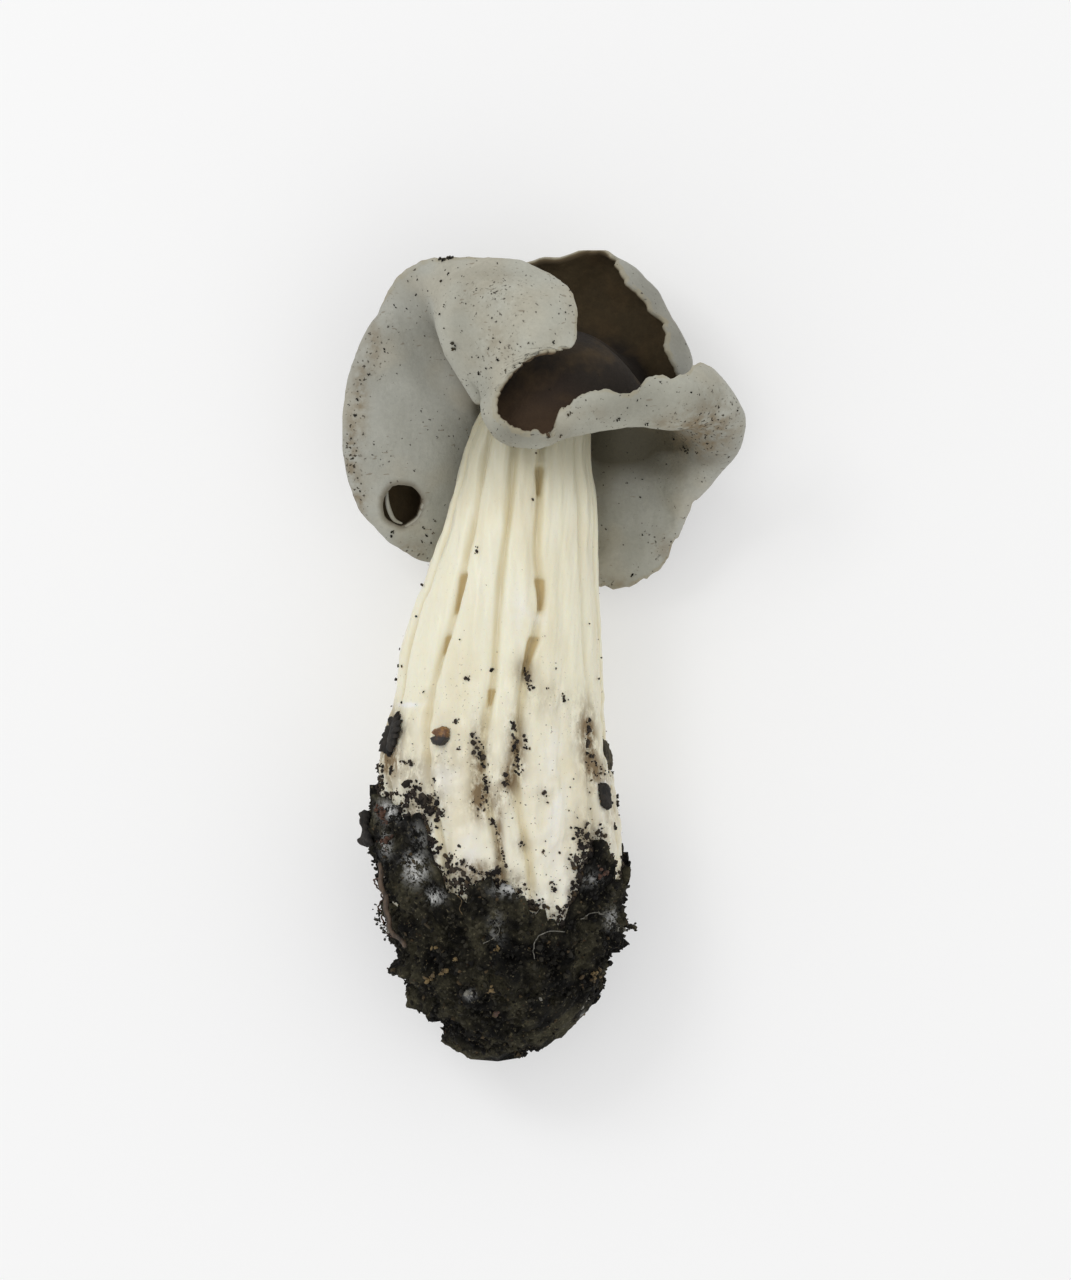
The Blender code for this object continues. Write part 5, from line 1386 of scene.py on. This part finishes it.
def felt_group():
    """Fine felted unevenness: two sizes of noise, as a height and as a lightness round 1."""
    tree, given, out = new_group(
        "felt", [("Size", "value", 0.6), ("Contrast", "value", 0.2)],
        [("Height", "value"), ("Lightness", "value")],
    )
    place = node(tree, "TexCoord").outputs["Object"]
    scale = maths(tree, "DIVIDE", 1.0 / MM, given.outputs["Size"])
    fine = raw_noise(tree, place, scale, 4.0, 0.7)
    broad = noise(tree, place, 5.0, 2.0)
    height = maths(tree, "ADD", fine, times(tree, broad, 0.5))
    swing = times(tree, maths(tree, "SUBTRACT", height, 0.75), given.outputs["Contrast"])
    tree.links.new(height, out.inputs["Height"])
    tree.links.new(maths(tree, "ADD", swing, 1.0), out.inputs["Lightness"])
    return tree


def use_group(tree, group, **inputs):
    made = tree.nodes.new("ShaderNodeGroup")
    made.node_tree = group
    for key, value in inputs.items():
        made.inputs[key].default_value = value
    return made


def new_material(name, **constants):
    """A material, its tree, its Principled shader and its Object coordinates.

    The shader's own sockets are set by name, with underscores for spaces.
    """
    made = bpy.data.materials.new(name)
    made.use_nodes = True
    tree = made.node_tree
    shader = tree.nodes["Principled BSDF"]
    for key, value in constants.items():
        shader.inputs[key.replace("_", " ")].default_value = value
    return made, tree, shader, node(tree, "TexCoord").outputs["Object"]


def connect(tree, shader, colour, height, depth, strength):
    """Links the colour, and through a bump a height of so many millimetres."""
    tree.links.new(colour, shader.inputs["Base Color"])
    bump = node(tree, "Bump", {"Strength": strength, "Distance": depth * MM, "Height": height})
    tree.links.new(bump.outputs[0], shader.inputs["Normal"])


def scaled(tree, colour, lightness):
    """A colour made lighter or darker by a factor."""
    grey = node(tree, "CombineColor", {0: lightness, 1: lightness, 2: lightness}).outputs[0]
    return blend(tree, 1.0, colour, grey, "MULTIPLY")


def cap_flesh(speckle, felt):
    """Felted grey-brown outside, velvety dark brown spore-bearing side, browned margin, stains, dots, and
    painted light and shade.
    """
    made, tree, shader, place = new_material("cap_flesh", Roughness=0.85, Specular_IOR_Level=0.3)
    side, edge, share, hole = (attribute(tree, name) for name in ("side", "edge", "share", "hole"))
    z = height_of(tree, place, 2)
    cloth = use_group(tree, felt, Size=0.55, Contrast=0.34)
    # Painted light and shade: the outside is lighter the higher it lies, and the second coat below darkens it
    # near the floor.
    grey = blend(tree, span(tree, z, 18 * MM, 31 * MM), (0.392, 0.391, 0.346), (0.455, 0.452, 0.385))
    grey = coated(
        tree, grey, (patches(tree, place, 9.0, 2.0, 0.42, 0.66), 0.35, (0.42, 0.37, 0.27)),
        (span(tree, z, 2 * MM, 7 * MM, 0.3, 0.0), 1.0, (0.33, 0.30, 0.25)),
    )
    grey = scaled(tree, grey, cloth.outputs["Lightness"])
    fringe = times(tree, span(tree, edge, 0.45, 0.10), patches(tree, place, 2.2, 2.0, 0.35, 0.6))
    stain = times(tree, attribute(tree, "stain"), patches(tree, place, 1.6, 4.0, 0.28, 0.68))
    dashes = use_group(tree, speckle, Size=0.7, Amount=0.62, Stretch=(0.45, 1.5, 1.0))
    dots = use_group(tree, speckle, Size=0.42, Amount=0.62)
    crowd = use_group(tree, speckle, Size=0.42, Amount=1.0)
    # The first coat is painted shade in the folds, undersides, the recess under the band and the valley.
    grey = coated(
        tree, grey, (maths(tree, "MINIMUM", attribute(tree, "dusk"), 0.94), 1.0, (0.075, 0.065, 0.040)),
        (fringe, 0.45, (0.34, 0.29, 0.18)), (stain, 0.72, (0.20, 0.15, 0.085)),
        (dashes.outputs[0], 0.5, (0.16, 0.12, 0.08)), (dots.outputs[0], 0.85, (0.035, 0.028, 0.022)),
        (times(tree, crowd.outputs[0], attribute(tree, "stain")), 1.0, (0.042, 0.034, 0.022)),
    )
    velvet = use_group(tree, felt, Size=0.8, Contrast=0.75)
    brown = blend(tree, span(tree, share, 0.30, 0.52), (0.024, 0.018, 0.013), (0.055, 0.038, 0.017))
    brown = coated(tree, brown, (patches(tree, place, 6.0, 3.0, 0.45, 0.7), 0.6, (0.085, 0.055, 0.024)))
    brown = scaled(tree, brown, velvet.outputs["Lightness"])
    brown = coated(
        tree, brown, (span(tree, z, 26 * MM, 30 * MM), 0.6, (0.085, 0.046, 0.030)),
        (span(tree, edge, 0.5, 0.05), 0.5, (0.16, 0.12, 0.07)),
    )
    rim = times(tree, span(tree, side, 0.95, 0.75), span(tree, side, 0.1, 0.5))
    # The last coat darkens a ring round the eaten hole: partly browned flesh, partly painted shade where the
    # flesh bends in.
    colour = coated(
        tree, blend(tree, span(tree, side, 0.25, 0.7), brown, grey), (rim, 0.4, (0.36, 0.32, 0.22)),
        (span(tree, hole, 1.35, 1.0), 0.6, (0.12, 0.09, 0.055)),
    )
    height = maths(tree, "ADD", cloth.outputs["Height"], times(tree, noise(tree, place, 2.4, 3.0), 1.2))
    connect(tree, shader, colour, height, 0.10, 0.8)
    return made


def stem_flesh(speckle, felt):
    """Waxy ivory ribs, tan grooves and slits, white swellings, brown smears and dots towards the foot, with
    painted shadow under the cap's lip and two painted glints.
    """
    made, tree, shader, place = new_material(
        "stem_flesh", Roughness=0.42, Subsurface_Weight=0.25, Subsurface_Scale=0.0012,
        Subsurface_Radius=(1.0, 0.75, 0.45), Coat_Weight=0.05, Coat_Roughness=0.3,
    )
    y = height_of(tree, place, 1)
    # White swellings; two of the blots are painted glints, small white highlights.
    white = times(tree, attribute(tree, "white"), patches(tree, place, 4.0, 2.0, 0.3, 0.6))
    blotches = patches(tree, place, 1.3, 4.0, 0.30, 0.60, 0.7, (1.0, 0.5, 1.0), 1.4)
    smear = times(tree, attribute(tree, "dirt"), blotches)
    near = span(tree, attribute(tree, "near_soil"), 4.0, 0.4)
    grime = times(tree, near, patches(tree, place, 1.1, 4.0, 0.42, 0.66, 0.7))
    dots = use_group(tree, speckle, Size=0.34, Amount=0.6).outputs[0]
    dots = times(tree, dots, span(tree, y, 6 * MM, -20 * MM, 0.1, 0.9))
    ivory = coated(
        tree, blend(tree, span(tree, y, -2 * MM, -22 * MM), (0.83, 0.795, 0.615), (0.79, 0.75, 0.60)),
        (patches(tree, place, 1.5, 3.0, 0.35, 0.7, 0.6, (1.0, 0.12, 1.0)), 0.40, (0.86, 0.84, 0.72)),
        (patches(tree, place, 7.0, 2.0, 0.45, 0.7, 0.6, (1.0, 0.4, 1.0)), 0.45, (0.70, 0.62, 0.42)),
        (span(tree, attribute(tree, "groove"), 0.12, 0.7), 0.55, (0.66, 0.56, 0.33)),
        (span(tree, attribute(tree, "slit"), 0.25, 0.85), 1.0, (0.58, 0.46, 0.24)),
        # Painted shadow: the stem darkens towards its top, under the cap's lip.
        (span(tree, y, 16 * MM, 29 * MM), 0.80, (0.35, 0.325, 0.222)),
        (white, 0.85, (0.86, 0.85, 0.80)), (smear, 0.85, (0.22, 0.155, 0.08)),
        (grime, 0.8, (0.16, 0.12, 0.07)), (dots, 1.0, (0.07, 0.05, 0.03)),
    )
    wax = use_group(tree, felt, Size=0.7, Contrast=0.06)
    colour = scaled(tree, ivory, wax.outputs["Lightness"])
    fibre = noise(tree, place, 0.5, 4.0, 0.6, (1.0, 0.15, 1.0))
    connect(tree, shader, colour, maths(tree, "ADD", fibre, wax.outputs["Height"]), 0.06, 0.7)
    tree.links.new(span(tree, smear, 0.0, 0.6, 0.38, 0.85), shader.inputs["Roughness"])
    return made


def crumbly_soil(felt):
    """Black peaty soil with olive and brown grains and patches of white threads."""
    made, tree, shader, place = new_material("soil_clod", Roughness=0.95, Specular_IOR_Level=0.15)
    earth = use_group(tree, felt, Size=0.5, Contrast=3.4)
    patchy = patches(tree, place, 5.0, 3.0, 0.4, 0.65)
    colour = blend(tree, patchy, (0.005, 0.0045, 0.0035), (0.040, 0.036, 0.022))
    web = times(tree, attribute(tree, "mycelium"), patches(tree, place, 1.3, 6.0, 0.44, 0.56, 0.8, most=1.3))
    colour = coated(
        tree, scaled(tree, colour, earth.outputs["Lightness"]),
        (patches(tree, place, 0.5, 2.0, 0.62, 0.70), 0.8, (0.115, 0.100, 0.062)),
        (patches(tree, place, 1.1, 3.0, 0.66, 0.74), 0.6, (0.075, 0.035, 0.016)),
        (web, 1.0, (0.62, 0.62, 0.60)),
    )
    height = maths(tree, "ADD", noise(tree, place, 0.6, 5.0, 0.7), noise(tree, place, 1.6, 3.0))
    connect(tree, shader, colour, height, 0.35, 1.0)
    return made


def soil_crumb(name, darkest, dark, bright):
    """Loose crumbs of the same soil, each a little browner or greyer."""
    made, tree, shader, place = new_material(name, Roughness=0.9, Specular_IOR_Level=0.25)
    tint = attribute(tree, "tint")
    light = blend(tree, patches(tree, place, 5.0, 3.0, 0.4, 0.65), dark, bright)
    colour = blend(tree, span(tree, tint, 0.0, 0.9), darkest, light)
    colour = blend(tree, span(tree, tint, 0.88, 1.0), colour, (0.070, 0.048, 0.024))
    connect(tree, shader, colour, noise(tree, place, 0.35, 4.0, 0.7), 0.12, 0.9)
    return made


def plain_matter(name, first, second, size, roughness, depth, stretch=(1.0, 1.0, 1.0)):
    """Bark, root, thread or bit: two colours mixed by streaked noise, which also raises the surface."""
    made, tree, shader, place = new_material(name, Roughness=roughness)
    grain = noise(tree, place, size, 4.0, 0.65, stretch)
    connect(tree, shader, blend(tree, span(tree, grain, 0.36, 0.64), first, second), grain, depth, 1.0)
    return made


def husk_shell():
    """The husk: glossy orange-brown that turns black at its lower half."""
    made, tree, shader, place = new_material("husk_shell", Roughness=0.4)
    wander = times(tree, noise(tree, place, 1.0, 3.0), 1.8 * MM)
    ragged_y = maths(tree, "ADD", height_of(tree, place, 1), wander)
    orange = blend(tree, patches(tree, place, 0.6, 3.0, 0.4, 0.65), (0.11, 0.045, 0.012), (0.28, 0.14, 0.035))
    colour = blend(tree, span(tree, ragged_y, -9.0 * MM, -9.6 * MM), orange, (0.014, 0.011, 0.009))
    connect(tree, shader, colour, noise(tree, place, 0.5, 3.0), 0.15, 1.0)
    return made


def build_stage():
    """The pale floor, soft light from the upper left and a camera high above, as the photograph was taken."""
    mesh = bpy.data.meshes.new("floor")
    corners = [(x * FLOOR_REACH, y * FLOOR_REACH, 0) for x, y in ((-1, -1), (1, -1), (1, 1), (-1, 1))]
    mesh.from_pydata(corners, [], [(0, 1, 2, 3)])
    paper, *_ = new_material(
        "pale_floor", Roughness=0.9, Base_Color=(FLOOR_GREY, FLOOR_GREY, FLOOR_GREY, 1.0),
        Emission_Color=(1.0, 1.0, 1.0, 1.0), Emission_Strength=FLOOR_GLOW, Specular_IOR_Level=0.1,
    )
    mesh.materials.append(paper)
    floor = bpy.data.objects.new("floor", mesh)
    bpy.context.scene.collection.objects.link(floor)
    world = bpy.data.worlds.new("soft_room")
    world.use_nodes = True
    world.node_tree.nodes["Background"].inputs["Color"].default_value = (1.0, 1.0, 1.0, 1.0)
    world.node_tree.nodes["Background"].inputs["Strength"].default_value = WORLD_STRENGTH
    bpy.context.scene.world = world
    for name, place, size, power in LIGHTS:
        lamp = bpy.data.lights.new(name, "AREA")
        lamp.size = size
        lamp.energy = power
        made = bpy.data.objects.new(name, lamp)
        made.location = place
        made.rotation_mode = "QUATERNION"
        made.rotation_quaternion = (-Vector(place)).to_track_quat("-Z", "Y")
        bpy.context.scene.collection.objects.link(made)
    camera = bpy.data.objects.new("camera", bpy.data.cameras.new("camera"))
    camera.data.lens, camera.data.sensor_width = LENS, SENSOR
    away = PHOTO_TALL / 2 / (SENSOR / 2 / LENS)
    camera.location = (np.array((*PHOTO_CENTRE, CAMERA_LEVEL + away)) - MIDDLE) * MM
    camera.data.clip_end = 2 * away * MM
    bpy.context.scene.collection.objects.link(camera)
    bpy.context.scene.camera = camera
    bpy.context.scene.view_settings.view_transform = "Standard"


# Plain matter: (name, first colour, second colour, size of its grain, roughness, depth, stretch).
BITS = {
    "ochre": ("ochre_bits", (0.17, 0.115, 0.045), (0.05, 0.034, 0.016), 0.8, 0.8, 0.1),
    "pale": ("pale_bits", (0.22, 0.21, 0.18), (0.075, 0.07, 0.055), 0.6, 0.8, 0.1),
    "rust": ("rust_bits", (0.085, 0.035, 0.018), (0.040, 0.022, 0.014), 0.6, 0.8, 0.1),
}
BARK = ("bark", (0.007, 0.006, 0.005), (0.026, 0.021, 0.016), 0.5, 0.85, 0.2, (1.0, 0.4, 1.0))
BROWN_BARK = ("brown_bark", (0.030, 0.025, 0.016), (0.095, 0.080, 0.050), 0.5, 0.8, 0.2, (1.0, 0.35, 1.0))
ROOT_SKIN = ("root_skin", (0.105, 0.070, 0.045), (0.030, 0.021, 0.015), 0.6, 0.7, 0.15, (1.0, 0.3, 1.0))
# Crumbs: (name, darkest, dark and bright colour).
MOIST_CRUMB = ("soil_crumb", (0.004, 0.0035, 0.003), (0.020, 0.018, 0.013), (0.056, 0.050, 0.031))
DRIED_CRUMB = ("dried_crumb", (0.010, 0.008, 0.007), (0.036, 0.028, 0.023), (0.064, 0.050, 0.036))


def main():
    speckle, felt = speckle_group(), felt_group()
    crumb, dried_crumb = soil_crumb(*MOIST_CRUMB), soil_crumb(*DRIED_CRUMB)
    finishes = {kind: plain_matter(*finish) for kind, finish in BITS.items()}
    litter = {"seed_husk": husk_shell(), "leaf_scale": plain_matter(*BROWN_BARK)}
    bark = plain_matter(*BARK)
    felted = cap_flesh(speckle, felt)
    cap = build_cap(felted)
    build_curl(felted)
    build_stem(stem_flesh(speckle, felt))
    build_soil(crumbly_soil(felt))
    build_clod_crumbs(crumb)
    build_stem_crumbs(dried_crumb)
    build_cap_crumbs(cap, crumb)
    for name, *shape in FLAKES:
        build_flake(name, *shape, litter.get(name, bark), "husk" if name == "seed_husk" else "bark")
    build_rootlet(plain_matter(*ROOT_SKIN))
    build_threads(finishes)
    build_soil_bits(finishes)
    build_stage()


main()
